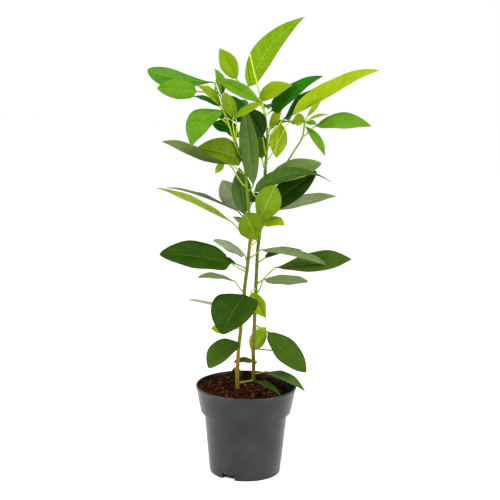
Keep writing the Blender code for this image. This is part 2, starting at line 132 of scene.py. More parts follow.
def smooth_path(knots: Sequence[Triple], count: int) -> np.ndarray:
    """Points evenly spread along a Catmull-Rom curve.

    Args:
        knots: Points that the curve passes, in millimetres.
        count: How many points to return.

    Returns:
        The points in metres, as a count by 3 array.
    """
    given = np.array(knots, float) * MM
    padded = np.concatenate([[2 * given[0] - given[1]], given, [2 * given[-1] - given[-2]]])
    before, start, end, after = (padded[i : len(padded) - 3 + i, None] for i in range(4))
    share = np.linspace(0, 1, 12, endpoint=False)[None, :, None]
    bend = (2 * before - 5 * start + 4 * end - after) * share**2
    swing = (3 * start - before - 3 * end + after) * share**3
    fine = (2 * start + (end - before) * share + bend + swing) / 2
    fine = np.concatenate([fine.reshape(-1, 3), given[-1:]])
    along = np.concatenate([[0], np.cumsum(np.linalg.norm(np.diff(fine, axis=0), axis=1))])
    spots = np.linspace(0, along[-1], count)
    return np.stack([np.interp(spots, along, fine[:, axis]) for axis in range(3)], axis=1)


def ripple(points: np.ndarray, pitch: float, seed: int) -> np.ndarray:
    """Smooth unevenness of about -1 to 1: a sum of sine waves in scattered directions.

    Args:
        points: An array of points, in metres, with 3 as its last axis.
        pitch: The mean length of a wave, in metres.
        seed: Chooses the directions and phases.

    Returns:
        One value a point.
    """
    rng = np.random.default_rng(seed)
    waves = 9
    ways = unit(rng.normal(size=(waves, 3))) * 2 * math.pi / pitch * rng.uniform(0.6, 1.6, (waves, 1))
    return np.sin(points @ ways.T + rng.uniform(0, 2 * math.pi, waves)).mean(axis=-1) * 2.0


def corner_map(across: np.ndarray, along: np.ndarray) -> np.ndarray:
    """Give each quad of a grid its four map corners.

    Args:
        across: The map's first value at each edge between columns.
        along: Its second value at each edge between rows.

    Returns:
        An array of quads by 4 by 2, row after row.
    """
    low, left = np.meshgrid(along[:-1], across[:-1], indexing="ij")
    high, right = np.meshgrid(along[1:], across[1:], indexing="ij")
    corners = [np.stack(pair, -1) for pair in ((left, low), (right, low), (right, high), (left, high))]
    return np.stack(corners, axis=2).reshape(-1, 4, 2)


@dataclass
class Skin:
    """A closed mesh as arrays.

    Attributes:
        points: One row a point.
        faces: The point numbers of each face.
        caps: The same of each end cap.
        slots: Each face's material slot.
        leaf_map: Four corners a face on the map that the leaf finish reads.
        bake_map: The same on the map for baking.
        cap_slot: The slot of the end caps.
        scars: How scarred each point is, from 0 to 1.
    """

    points: np.ndarray
    faces: np.ndarray
    caps: np.ndarray
    slots: np.ndarray
    leaf_map: np.ndarray | None = None
    bake_map: np.ndarray | None = None
    cap_slot: int = 0
    scars: np.ndarray | None = None

    def turned_out(self) -> "Skin":
        """Reverse every face if the mesh is inside out, by the sign of its volume.

        Returns:
            The same skin.
        """
        offset = self.points - self.points.mean(axis=0)
        first, second, third = (offset[self.faces[:, i]] for i in range(3))
        last = offset[self.faces[:, -1]]
        volume = dots(first, np.cross(second, third)).sum() + dots(first, np.cross(third, last)).sum()
        if volume < 0:
            self.faces, self.caps = self.faces[:, ::-1], self.caps[:, ::-1]
            if self.bake_map is not None:
                self.leaf_map, self.bake_map = self.leaf_map[:, ::-1], self.bake_map[:, ::-1]
        return self

    @staticmethod
    def joined(skins: list["Skin"]) -> "Skin":
        """Put several mapped skins into one, each in its own square of the bake map.

        Args:
            skins: Skins whose caps all have as many corners.

        Returns:
            One skin with every point and face.
        """
        across = math.ceil(math.sqrt(len(skins)))
        squares = [np.array(divmod(index, across), float) for index in range(len(skins))]
        starts = np.cumsum([0] + [len(skin.points) for skin in skins[:-1]])
        skins = [skin.turned_out() for skin in skins]
        shrunk = [(skin.bake_map + square) / across for skin, square in zip(skins, squares)]
        return Skin(
            np.concatenate([skin.points for skin in skins]),
            np.concatenate([skin.faces + start for skin, start in zip(skins, starts)]),
            np.concatenate([skin.caps + start for skin, start in zip(skins, starts)]),
            np.concatenate([skin.slots for skin in skins]),
            np.concatenate([skin.leaf_map for skin in skins]),
            np.concatenate(shrunk),
            skins[0].cap_slot,
        )

    def piece(self, name: str, materials: list[bpy.types.Material]) -> bpy.types.Object:
        """Make the mesh object, shaded smooth, with its place in its mesh.

        Args:
            name: The object's name.
            materials: One material a slot.

        Returns:
            The new object.
        """
        self.turned_out()
        mesh = bpy.data.meshes.new(name)
        mesh.from_pydata(self.points, [], self.faces.tolist() + self.caps.tolist())
        for material in materials:
            mesh.materials.append(material)
        slots = np.concatenate([self.slots, np.full(len(self.caps), self.cap_slot)])
        mesh.polygons.foreach_set("material_index", slots.astype(np.int32))
        mesh.polygons.foreach_set("use_smooth", np.ones(len(mesh.polygons), bool))
        for map_name, corners in ((LEAF_MAP, self.leaf_map), (BAKE_MAP, self.bake_map)):
            if corners is not None:
                values = np.concatenate([corners.reshape(-1, 2), np.full((self.caps.size, 2), 0.01)])
                layer = mesh.uv_layers.new(name=map_name)
                layer.uv.foreach_set("vector", values.astype(np.float32).ravel())
        if self.scars is not None:
            marks = mesh.attributes.new(SCAR, "FLOAT", "POINT")
            marks.data.foreach_set("value", self.scars.astype(np.float32))
        mesh.update()
        return show(name, mesh)


def lofted(rings: np.ndarray, looped: bool = False) -> Skin:
    """A skin over rings of points: each quad joins two neighbours on one ring to those on the next.

    Args:
        rings: An array of rings by points by 3.
        looped: True if the last ring joins the first, as in a turned wall. Otherwise both are capped.

    Returns:
        The closed skin, mapped by its place on the ring and its ring.
    """
    count, sides = rings.shape[:2]
    last = count if looped else count - 1
    row, column = np.meshgrid(np.arange(last), np.arange(sides), indexing="ij")
    near, far, beside = row * sides, (row + 1) % count * sides, (column + 1) % sides
    corners = [near + column, near + beside, far + beside, far + column]
    faces = np.stack(corners, axis=-1).reshape(-1, 4)
    ends = np.arange(sides)
    caps = np.zeros((0, sides), int) if looped else np.stack([ends[::-1], (count - 1) * sides + ends])
    spread = corner_map(np.linspace(0.02, 0.98, sides + 1), np.linspace(0.02, 0.98, last + 1))
    return Skin(rings.reshape(-1, 3), faces, caps, np.zeros(len(faces), int), spread, spread.copy())


def turned_profile(profile: np.ndarray, bearings: np.ndarray) -> np.ndarray:
    """Turn a profile about the axis: x and y are the radius times the bearing's cosine and sine.

    Args:
        profile: Rows of radius and height.
        bearings: Where to put a copy of it, in radians.

    Returns:
        An array of rows by bearings by 3.
    """
    radius, height = profile[:, 0, None], profile[:, 1, None]
    flat = np.ones_like(bearings)
    return np.stack([radius * np.cos(bearings), radius * np.sin(bearings), height * flat], axis=-1)


def rounded(points: Sequence[tuple[float, float]], reach: np.ndarray, steps: int = 6) -> np.ndarray:
    """A closed outline with each corner eased by a curve that starts and ends a reach away from it.

    Args:
        points: The outline's corners.
        reach: How far from each corner its curve starts, less where the sides are short.
        steps: Points on each curve.

    Returns:
        The eased outline, as an array of points by 2.
    """
    corner = np.array(points, float)
    back, ahead = np.roll(corner, 1, axis=0) - corner, np.roll(corner, -1, axis=0) - corner
    far_back, far_ahead = (np.linalg.norm(side, axis=1, keepdims=True) for side in (back, ahead))
    start = corner + back / far_back * np.minimum(reach[:, None], 0.45 * far_back)
    end = corner + ahead / far_ahead * np.minimum(reach[:, None], 0.45 * far_ahead)
    share = np.linspace(0, 1, steps)[None, :, None]
    eased = start[:, None] * (1 - share) ** 2 + 2 * corner[:, None] * share * (1 - share)
    return (eased + end[:, None] * share**2).reshape(-1, 2)


class Bench:
    """Lays out the nodes of one material."""

    def __init__(self, name: str) -> None:
        """Start a material with an empty node tree.

        Args:
            name: The material's name.
        """
        self.material = bpy.data.materials.new(name)
        self.material.use_nodes = True
        self.tree = self.material.node_tree
        self.tree.nodes.clear()
        self.place = self.add("ShaderNodeTexCoord").outputs["Object"]

    def add(self, kind: str, inputs: dict | None = None, **settings: object) -> bpy.types.Node:
        """Add a node.

        Args:
            kind: Its type in Blender.
            inputs: For each socket by name or number, another socket to link or a plain value.
            **settings: The node's own properties.

        Returns:
            The new node.
        """
        node = self.tree.nodes.new(kind)
        for key, value in settings.items():
            setattr(node, key, value)
        for key, value in (inputs or {}).items():
            if isinstance(value, bpy.types.NodeSocket):
                self.tree.links.new(value, node.inputs[key])
            else:
                node.inputs[key].default_value = value
        return node

    def maths(self, operation: str, first: object, second: object = 0.0) -> bpy.types.NodeSocket:
        """One sum on two values."""
        return self.add("ShaderNodeMath", {0: first, 1: second}, operation=operation).outputs[0]

    def times(self, first: object, second: object) -> bpy.types.NodeSocket:
        """The product of two values."""
        return self.maths("MULTIPLY", first, second)

    def apart(self, first: object, second: object) -> bpy.types.NodeSocket:
        """How far two values are apart."""
        return self.maths("ABSOLUTE", self.maths("SUBTRACT", first, second))

    def ranged(
        self, value: object, low: float, high: float, at_low: float = 0.0, at_high: float = 1.0
    ) -> bpy.types.NodeSocket:
        """Ease from at_low to at_high as the value goes from low to high."""
        limits = {0: value, 1: low, 2: high, 3: at_low, 4: at_high}
        return self.add("ShaderNodeMapRange", limits, interpolation_type="SMOOTHSTEP").outputs[0]

    def height(self) -> bpy.types.NodeSocket:
        """The height above the floor, in metres."""
        return self.add("ShaderNodeSeparateXYZ", {0: self.place}).outputs[2]

    def scarring(self) -> bpy.types.NodeSocket:
        """How scarred the skin is, from 0 to 1."""
        return self.add("ShaderNodeAttribute", attribute_name=SCAR).outputs["Fac"]

    def noise(
        self, scale: float, detail: float = 2.0, stretch: Triple = (1, 1, 1)
    ) -> bpy.types.NodeSocket:
        """Soft noise from 0 to 1 over the object's own place.

        Args:
            scale: Features a metre.
            detail: How many finer layers it has.
            stretch: Scale of the place along each axis.

        Returns:
            The noise's socket.
        """
        spot = self.add("ShaderNodeMapping", {"Vector": self.place, "Scale": stretch}).outputs[0]
        inputs = {"Vector": spot, "Scale": scale, "Detail": detail}
        return self.add("ShaderNodeTexNoise", inputs).outputs["Fac"]

    def mixed(self, share: object, first: object, second: object) -> bpy.types.NodeSocket:
        """Blend two colours, each a socket or three numbers.

        Args:
            share: The second colour's share, a socket or a number.
            first: The colour at 0.
            second: The colour at 1.

        Returns:
            The blend's socket.
        """
        inputs = {0: share}
        for key, value in ((6, first), (7, second)):
            inputs[key] = value if isinstance(value, bpy.types.NodeSocket) else (*value, 1.0)
        return self.add("ShaderNodeMix", inputs, data_type="RGBA").outputs[2]

    def bumped(self, height: object, distance: float) -> bpy.types.NodeSocket:
        """A normal raised by this height, times the distance in metres."""
        return self.add("ShaderNodeBump", {"Height": height, "Distance": distance}).outputs[0]

    def plain(
        self, colour: object, roughness: object, normal: object, gloss: float
    ) -> bpy.types.NodeSocket:
        """A Principled shader.

        Args:
            colour: A socket.
            roughness: A socket or a number.
            normal: A socket.
            gloss: The specular level.

        Returns:
            The shader's socket.
        """
        inputs = {"Base Color": colour, "Roughness": roughness, "Normal": normal}
        inputs["Specular IOR Level"] = gloss
        return self.add("ShaderNodeBsdfPrincipled", inputs).outputs[0]

    def done(self, shader: bpy.types.NodeSocket) -> bpy.types.Material:
        """Show the shader and hand over the material."""
        self.add("ShaderNodeOutputMaterial", {"Surface": shader})
        return self.material


@dataclass(frozen=True)
class Finish:
    """A finish with a node material that is built once and shared.

    Attributes:
        name: The material's name.
    """

    name: str

    def material(self) -> bpy.types.Material:
        """Build the material, or find it if it is built.

        Returns:
            The material.
        """
        found = bpy.data.materials.get(self.name)
        if found:
            return found
        bench = Bench(self.name)
        return bench.done(self.shader(bench))

    def shader(self, bench: Bench) -> bpy.types.NodeSocket:
        """Lay out the finish's own nodes and return its shader's socket."""
        raise NotImplementedError


@dataclass(frozen=True)
class LeafFinish(Finish):
    """One side of a leaf: waxy, blotched a little, with a pale midrib and faint side veins.

    Attributes:
        blade: The colour between the veins.
        tint: The colour of its soft blotches.
        rib: The colour of the midrib.
        roughness: The mean roughness.
        veins: How strongly the side veins take the midrib's colour.
        through: The share of light that comes through from behind.
        gloss: The specular level.
    """

    blade: Colour
    tint: Colour
    rib: Colour
    roughness: float = 0.42
    veins: float = 0.25
    through: float = 0.12
    gloss: float = 0.045

    def shader(self, bench: Bench) -> bpy.types.NodeSocket:
        """Blotches, then veins, midrib and margin by place on the leaf map, lit through a little.

        Args:
            bench: Where the nodes go.

        Returns:
            The shader's socket.
        """
        spot = bench.add("ShaderNodeUVMap", uv_map=LEAF_MAP).outputs[0]
        split = bench.add("ShaderNodeSeparateXYZ", {0: spot})
        across = bench.times(bench.apart(split.outputs[0], 0.5), 2.0)
        beat = bench.maths("FRACT", bench.times(split.outputs[1], float(VEINS)))
        strength = bench.ranged(bench.apart(beat, 0.5), 0.38, 0.5, 0.0, self.veins)
        vein = bench.times(strength, bench.ranged(across, 0.6, 1.0, 1.0, 0.0))
        rib = bench.ranged(across, 0.015, 0.055, 0.85, 0.0)
        margin = bench.ranged(across, 0.95, 1.0, 0.0, 0.45)
        colour = bench.mixed(bench.ranged(bench.noise(48, 3), 0.38, 0.66), self.blade, self.tint)
        colour = bench.mixed(vein, colour, self.rib)
        colour = bench.mixed(bench.maths("MAXIMUM", rib, margin), colour, self.rib)
        rough = bench.ranged(bench.noise(170), 0.3, 0.7, self.roughness - 0.07, self.roughness + 0.08)
        normal = bench.bumped(bench.noise(360, 2), 0.0001)
        front = bench.plain(colour, rough, normal, self.gloss)
        behind = bench.add("ShaderNodeBsdfTranslucent", {"Color": colour}).outputs[0]
        return bench.add("ShaderNodeMixShader", {0: self.through, 1: front, 2: behind}).outputs[0]


@dataclass(frozen=True)
class ShootFinish(Finish):
    """A green shoot or leaf stalk: smooth, slightly waxy, browner where it is scarred.

    Attributes:
        green: The main colour.
        shade: The colour of its long soft streaks.
        scar: The colour at a node.
        soft: The colour of its youngest end.
        turns: Heights between which it turns to that colour, in metres.
    """

    green: Colour
    shade: Colour
    scar: Colour
    soft: Colour = (0.42, 0.6, 0.04)
    turns: tuple[float, float] = (2.0, 3.0)

    def shader(self, bench: Bench) -> bpy.types.NodeSocket:
        """Long streaks, then the soft end by height, then the scars.

        Args:
            bench: Where the nodes go.

        Returns:
            The shader's socket.
        """
        streak = bench.ranged(bench.noise(260, 3, (1, 1, 0.12)), 0.4, 0.65)
        colour = bench.mixed(streak, self.green, self.shade)
        colour = bench.mixed(bench.ranged(bench.height(), *self.turns), colour, self.soft)
        colour = bench.mixed(bench.ranged(bench.scarring(), 0.2, 0.9, 0.0, 0.6), colour, self.scar)
        normal = bench.bumped(bench.noise(1500, 2, (1, 1, 0.2)), 0.0001)
        return bench.plain(colour, 0.45, normal, 0.15)


@dataclass(frozen=True)
class BarkFinish(Finish):
    """Young bark: ochre at the foot, greener above, with brown rings at the nodes and long fibres.

    Attributes:
        ochre: The colour low down.
        brown: The colour of streaks and rings.
        rust: The colour of blotches.
        green: The colour above.
        fresh: The colour of the last stretch below the tip.
        turns: Heights between which ochre turns green, in metres.
        freshens: Heights between which that green turns fresh, in metres.
    """

    ochre: Colour = (0.235, 0.148, 0.014)
    brown: Colour = (0.13, 0.05, 0.012)
    rust: Colour = (0.36, 0.15, 0.02)
    green: Colour = (0.095, 0.125, 0.008)
    fresh: Colour = (0.13, 0.26, 0.01)
    turns: tuple[float, float] = (0.17, 0.31)
    freshens: tuple[float, float] = (0.38, 0.45)

    def shader(self, bench: Bench) -> bpy.types.NodeSocket:
        """The turn of colour by height, its edge made to wander, then fibres, blotches and rings.

        Args:
            bench: Where the nodes go.

        Returns:
            The shader's socket.
        """
        height = bench.height()
        wander = bench.times(bench.maths("SUBTRACT", bench.noise(30, 2), 0.5), 0.16)
        green_share = bench.ranged(bench.maths("ADD", height, wander), *self.turns)
        colour = bench.mixed(green_share, self.ochre, self.green)
        colour = bench.mixed(bench.ranged(height, *self.freshens), colour, self.fresh)
        fibres = bench.noise(420, 4, (1, 1, 0.07))
        colour = bench.mixed(bench.ranged(fibres, 0.52, 0.74, 0.0, 0.5), colour, self.brown)
        blotches = bench.noise(110, 3, (1, 1, 0.2))
        colour = bench.mixed(bench.ranged(blotches, 0.55, 0.7, 0.0, 0.4), colour, self.rust)
        colour = bench.mixed(bench.ranged(bench.scarring(), 0.3, 0.95, 0.0, 0.4), colour, self.brown)
        relief = bench.maths("ADD", fibres, bench.times(bench.noise(1600, 2), 0.5))
        return bench.plain(colour, 0.62, bench.bumped(relief, 0.0003), 0.1)


@dataclass(frozen=True)
class PlasticFinish(Finish):
    """Moulded satin plastic, dusted unevenly, paler on its worn lip and scuffed near its foot.

    Attributes:
        grey: The plastic's colour.
        worn: The colour of scuffs and of the lip.
        lip_z: The lip's height in metres.
        scuff_z: The middle height of the scuffs in metres.
    """

    grey: Colour = (0.0115, 0.0115, 0.011)
    worn: Colour = (0.2, 0.2, 0.19)
    lip_z: float = 0.15
    scuff_z: float = 0.012

    def shader(self, bench: Bench) -> bpy.types.NodeSocket:
        """Dust, then the chafed lip, then level scuffs in patches round the foot.

        Args:
            bench: Where the nodes go.

        Returns:
            The shader's socket.
        """
        height = bench.height()
        dust = bench.ranged(bench.noise(26, 4), 0.35, 0.75, 0.0, 0.06)
        colour = bench.mixed(dust, self.grey, self.worn)
        near_lip = bench.ranged(height, self.lip_z - 0.0018, self.lip_z, 0.0, 0.2)
        chafe = bench.times(near_lip, bench.ranged(bench.noise(90, 3), 0.3, 0.6, 0.3, 1.0))
        colour = bench.mixed(chafe, colour, self.worn)
        strokes = bench.ranged(bench.noise(110, 5, (0.35, 0.35, 7.0)), 0.6, 0.72)
        away = bench.apart(height, self.scuff_z)
        patches = bench.ranged(bench.noise(16, 1), 0.5, 0.62, 0.0, 0.55)
        band = bench.ranged(away, 0.003, 0.009, 1.0, 0.0)
        scuffs = bench.times(bench.times(strokes, band), patches)
        colour = bench.mixed(scuffs, colour, self.worn)
        rough = bench.ranged(bench.noise(60, 3), 0.3, 0.7, 0.29, 0.35)
        relief = bench.maths("ADD", bench.noise(900, 2), bench.times(strokes, 0.4))
        return bench.plain(colour, rough, bench.bumped(relief, 0.00004), 0.26)


@dataclass(frozen=True)
class EarthFinish(Finish):
    """Moist peat or one of the bits in it: a plain colour, darker in its pits, where shade is painted
    in.

    Attributes:
        bright: The colour of what stands out.
        dark: The colour of the pits: the peat's own darker tone with painted shade.
        scale: Features a metre.
    """

    bright: Colour
    dark: Colour
    scale: float = 420.0

    def shader(self, bench: Bench) -> bpy.types.NodeSocket:
        """One noise for both the colour and the relief, so the low pits take the dark colour as painted
        shade.

        Args:
            bench: Where the nodes go.

        Returns:
            The shader's socket.
        """
        grain = bench.noise(self.scale, 5)
        colour = bench.mixed(bench.ranged(grain, 0.4, 0.62), self.dark, self.bright)
        return bench.plain(colour, 0.9, bench.bumped(grain, 0.0016), 0.04)


class Tone(Enum):
    """The ages and colours of leaf on this plant. The deep tone is painted shade: a near-black green
    for leaves in the crown's shade. The sage and ash tones are partly grey-green leaf colour and partly
    a painted grey sheen.
    """

    # Painted shade: near-black green for leaves in the crown's shade
    DEEP = "deep"
    GREEN = "green"
    MATURE = "mature"
    MOSS = "moss"
    # Partly grey-green leaf colour, partly a painted grey sheen
    SAGE = "sage"
    # Partly grey-green leaf colour, partly a painted grey sheen
    ASH = "ash"
    OLIVE = "olive"
    GOLD = "gold"
    FRESH = "fresh"
    YOUNG = "young"


DEEP, GREEN, MATURE, MOSS, SAGE, ASH, OLIVE, GOLD, FRESH, YOUNG = Tone

GREY_UNDER = ((0.125, 0.175, 0.06), (0.15, 0.2, 0.075), (0.22, 0.28, 0.12))
PALE_UNDER = ((0.26, 0.32, 0.16), (0.3, 0.36, 0.19), (0.38, 0.44, 0.26))

# Each tone's upper side, then its underside
FINISHES = {
    tone: (
        LeafFinish(f"{tone.value}_upper", *upper, veins=veins, through=through),
        LeafFinish(f"{tone.value}_under", *under, roughness=0.54, veins=0.35, through=through),
    )
    for tone, veins, through, upper, under in (
        # The deep tone: painted shade, a near-black green for leaves in the crown's shade
        (
            DEEP, 0.25, 0.1, ((0.009, 0.03, 0.001), (0.014, 0.042, 0.002), (0.04, 0.1, 0.01)),
            ((0.05, 0.11, 0.01), (0.06, 0.13, 0.015), (0.12, 0.19, 0.04)),
        ),
        (
            GREEN, 0.25, 0.12, ((0.013, 0.1, 0.001), (0.018, 0.13, 0.002), (0.06, 0.23, 0.01)),
            ((0.065, 0.2, 0.012), (0.085, 0.24, 0.016), (0.15, 0.32, 0.035)),
        ),
        (
            MATURE, 0.16, 0.1, ((0.017, 0.05, 0.001), (0.024, 0.064, 0.002), (0.05, 0.105, 0.01)),
            GREY_UNDER,
        ),
        (
            MOSS, 0.18, 0.1, ((0.038, 0.087, 0.005), (0.048, 0.1, 0.007), (0.09, 0.16, 0.02)),
            GREY_UNDER,
        ),
        # The ash tone: partly pale grey-green leaf colour, partly a painted grey sheen of glossy leaves
        (
            ASH, 0.2, 0.12, ((0.14, 0.21, 0.052), (0.155, 0.23, 0.06), (0.2, 0.29, 0.09)),
            PALE_UNDER,
        ),
        (
            GOLD, 0.3, 0.2, ((0.2, 0.31, 0.002), (0.165, 0.28, 0.001), (0.32, 0.44, 0.018)),
            ((0.235, 0.31, 0.025), (0.2, 0.28, 0.018), (0.36, 0.45, 0.06)),
        ),
        # The sage tone: partly grey-green leaf colour, partly a painted grey sheen of glossy leaves
        (
            SAGE, 0.2, 0.12, ((0.062, 0.12, 0.018), (0.076, 0.14, 0.026), (0.14, 0.23, 0.06)),
            PALE_UNDER,
        ),
        (
            OLIVE, 0.3, 0.18, ((0.115, 0.19, 0.003), (0.08, 0.155, 0.002), (0.23, 0.34, 0.025)),
            ((0.17, 0.28, 0.01), (0.14, 0.24, 0.006), (0.3, 0.42, 0.04)),
        ),
        (
            FRESH, 0.3, 0.2, ((0.11, 0.26, 0.01), (0.08, 0.22, 0.005), (0.18, 0.37, 0.016)),
            ((0.19, 0.345, 0.003), (0.155, 0.31, 0.002), (0.32, 0.48, 0.03)),
        ),
        (
            YOUNG, 0.3, 0.24, ((0.31, 0.46, 0.02), (0.26, 0.41, 0.012), (0.42, 0.56, 0.01)),
            ((0.31, 0.43, 0.007), (0.28, 0.4, 0.004), (0.44, 0.55, 0.03)),
        ),
    )
}
DARK_STALK = ShootFinish("mature_stalk", (0.27, 0.4, 0.03), (0.17, 0.27, 0.018), (0.1, 0.08, 0.02))
BRIGHT_STALK = ShootFinish("young_stalk", (0.38, 0.52, 0.02), (0.28, 0.42, 0.015), (0.2, 0.2, 0.03))
GREEN_SHOOT = ShootFinish(
    "green_shoot_skin", (0.1, 0.19, 0.01), (0.19, 0.31, 0.02), (0.1, 0.1, 0.02), turns=(0.58, 0.63)
)
SIDE_SHOOT_SKIN = ShootFinish(
    "side_shoot_skin", (0.16, 0.22, 0.025), (0.1, 0.14, 0.015), (0.09, 0.08, 0.02)
)
STALKS = {tone: DARK_STALK for tone in (DEEP, MATURE, MOSS, SAGE, ASH)}

# Near-black pit colour: the peat's own dark tone with painted shade in the hollows
PIT_SHADE_PEAT = (0.006, 0.002, 0.001)
RED_PEAT = (0.06, 0.016, 0.005)
CRUMB_TINTS = ((0.014, 0.004, 0.002), (0.085, 0.021, 0.004), (0.24, 0.065, 0.012), (0.3, 0.15, 0.05))
FIBRE_TINTS = ((0.2, 0.1, 0.045), (0.1, 0.035, 0.014), (0.42, 0.3, 0.15))
CRUMB_SKINS = [EarthFinish(f"crumb_{i}", tint, PIT_SHADE_PEAT, 900) for i, tint in enumerate(CRUMB_TINTS)]
FIBRE_SKINS = [EarthFinish(f"fibre_{i}", tint, RED_PEAT, 900) for i, tint in enumerate(FIBRE_TINTS)]


@dataclass(frozen=True)
class Habit:
    """How a blade departs from two flat halves.

    Attributes:
        belly: Degrees that each half bulges between the midrib and the margin.
        curl: Degrees that the margins turn down.
        wave: Swing of the margins, as a share of the half width.
        hook: Millimetres that the tip drops.
        sway: Millimetres that the midrib bows to its right.
        point: Power of the outline towards the tip: lower is blunter.
        heel: The same towards the base.
    """

    belly: float = 9.0
    curl: float = 5.0
    wave: float = 0.03
    hook: float = 2.0
    sway: float = 0.0
    point: float = 0.95
    heel: float = 0.7


PLAIN = Habit()
WAVY = Habit(wave=0.08, hook=3.0)
BLUNT = Habit(point=0.72, hook=1.0)
FULL = Habit(point=0.7, heel=0.42, hook=1.5)
CURLED = Habit(curl=28.0, belly=14.0, point=0.5, heel=0.4)
HOOKED = Habit(point=0.7, hook=9.0)
TRAILING = Habit(point=1.5, hook=5.0)
SWUNG = Habit(point=0.58, hook=1.0, sway=5.0)
SQUARE = Habit(point=0.55, heel=0.6, hook=6.0)
POINTED = Habit(point=0.9, heel=0.6, hook=8.0)
HEELED = Habit(point=0.72, heel=0.4, hook=8.0)


@dataclass(frozen=True)
class Leaf:
    """One leaf's row in the schedules, in millimetres and degrees.

    Attributes:
        name: Its node's name, or its own name on a crown.
        node: Height of its node on the stem.
        stalk: Length, bearing and rise of the way from the stem's centre to the blade.
        blade: Length, bearing and rise of the blade from base to tip.
        width: The blade's width.
        faces: Bearing and rise of the upper side.
        arch: How far the midrib bows towards that side.
        fold: Degrees that each half is raised.
        twist: Degrees turned from base to tip.
        tone: Its shade.
        widest: The share of the length where the blade is broadest.
        habit: How its halves bend.
        under: The underside's shade, where it isn't the upper side's.
    """

    name: str
    node: float
    stalk: Triple
    blade: Triple
    width: float
    faces: tuple[float, float]
    arch: float
    fold: float
    twist: float
    tone: Tone
    widest: float = 0.5
    habit: Habit = PLAIN
    under: Tone | None = None

    def axes(self) -> tuple[np.ndarray, np.ndarray, np.ndarray]:
        """The blade's own directions: from base to tip, square to it on the upper side, and the bow.

        Returns:
            The two unit vectors, then the midrib's bow halfway along, in metres.
        """
        chord, face = direction(*self.blade[1:]), direction(*self.faces)
        normal = unit(face - face.dot(chord) * chord)
        return chord, normal, (self.arch * normal + self.habit.sway * np.cross(chord, normal)) * MM


LEFT_STEM_LEAVES = [
    Leaf("rim_front_leaf", 152, (29, 341, 13), (72, 309, -5), 16, (300, 70), 3, 16, 0, MATURE),
    Leaf("low_stub_leaf", 166, (14, 118, 46), (29, 66, -72), 22, (290, 5), 1, 8, 0, MATURE),
    Leaf("low_left_leaf", 217, (17, 273, 31), (70, 215, -29), 43, (262, 52), 12, 18, 0,
         MOSS, 0.58, FULL),
    Leaf("bud_leaf", 247, (30, 204, -5), (26, 212, 19), 16, (300, 40), 0, 10, 0, YOUNG, habit=BLUNT),
    # Its sage tone carries a painted grey sheen
    Leaf("left_tiny_leaf", 272, (25, 170, 19), (74, 159, 6), 28, (59, 62), 0, 8, 0, SAGE, habit=BLUNT),
    Leaf("front_round_leaf", 306, (18, 275, 10), (89, 241, -35), 78, (255, 48), 6, 14, 0,
         MATURE, 0.46, FULL),
    Leaf("left_small_leaf", 311, (25, 190, 45), (66, 158, 0), 34, (67, 60), 4, 8, 0,
         MATURE, habit=BLUNT),
    Leaf("left_long_leaf", 345, (32, 202, 28), (120, 191, 9), 58, (285, 48), 6, 12, 0,
         MATURE, habit=FULL),
    # Its sage tone carries a painted grey sheen
    Leaf("left_pale_leaf", 363, (12, 140, 48), (60, 159, 20), 44, (55, 50), -2, 10, 0,
         SAGE, 0.46, FULL),
    Leaf("right_rolled_leaf", 368, (27, 348, 33), (109, 0, -12), 30, (90, 56), 2, 34, 0,
         MATURE, habit=CURLED),
    Leaf("mid_light_leaf", 394, (46, 322, 64), (68, 315, 61), 45, (68, 15), 0, 14, 0,
         OLIVE, 0.48, BLUNT),
    Leaf("mid_front_leaf", 389, (21, 308, 32), (54, 235, 56), 46, (285, 5), 3, 8, 0,
         OLIVE, 0.66, SQUARE),
    Leaf("mid_left_edge_leaf", 400, (46, 194, 42), (133, 184, 25), 42, (60, 62), 2, 10, 0, GOLD),
    Leaf("mid_left_back_leaf", 428, (30, 156, 37), (123, 171, 17), 30, (55, 68), 3, 10, 0,
         MATURE, habit=WAVY),
    # Its sage tone carries a painted grey sheen
    Leaf("mid_dark_leaf", 434, (11, 165, 34), (78, 128, 79), 34, (270, 20), 0, 10, 0, SAGE),
    # Its sage tone carries a painted grey sheen
    Leaf("mid_round_leaf", 442, (25, 120, 2), (69, 130, 41), 42, (90, -40), -3, 8, 0,
         SAGE, habit=BLUNT),
    # Its sage tone carries a painted grey sheen
    Leaf("upper_erect_leaf", 480, (16, 330, 44), (126, 204, 82), 31, (270, 8), 3, 10, 0,
         SAGE, habit=BLUNT),
    # Its ash tone carries a painted grey sheen
    Leaf("upper_edge_leaf", 487, (49, 192, 50), (115, 173, 21), 40, (300, 66), -5, 8, 0,
         ASH, habit=HOOKED),
]

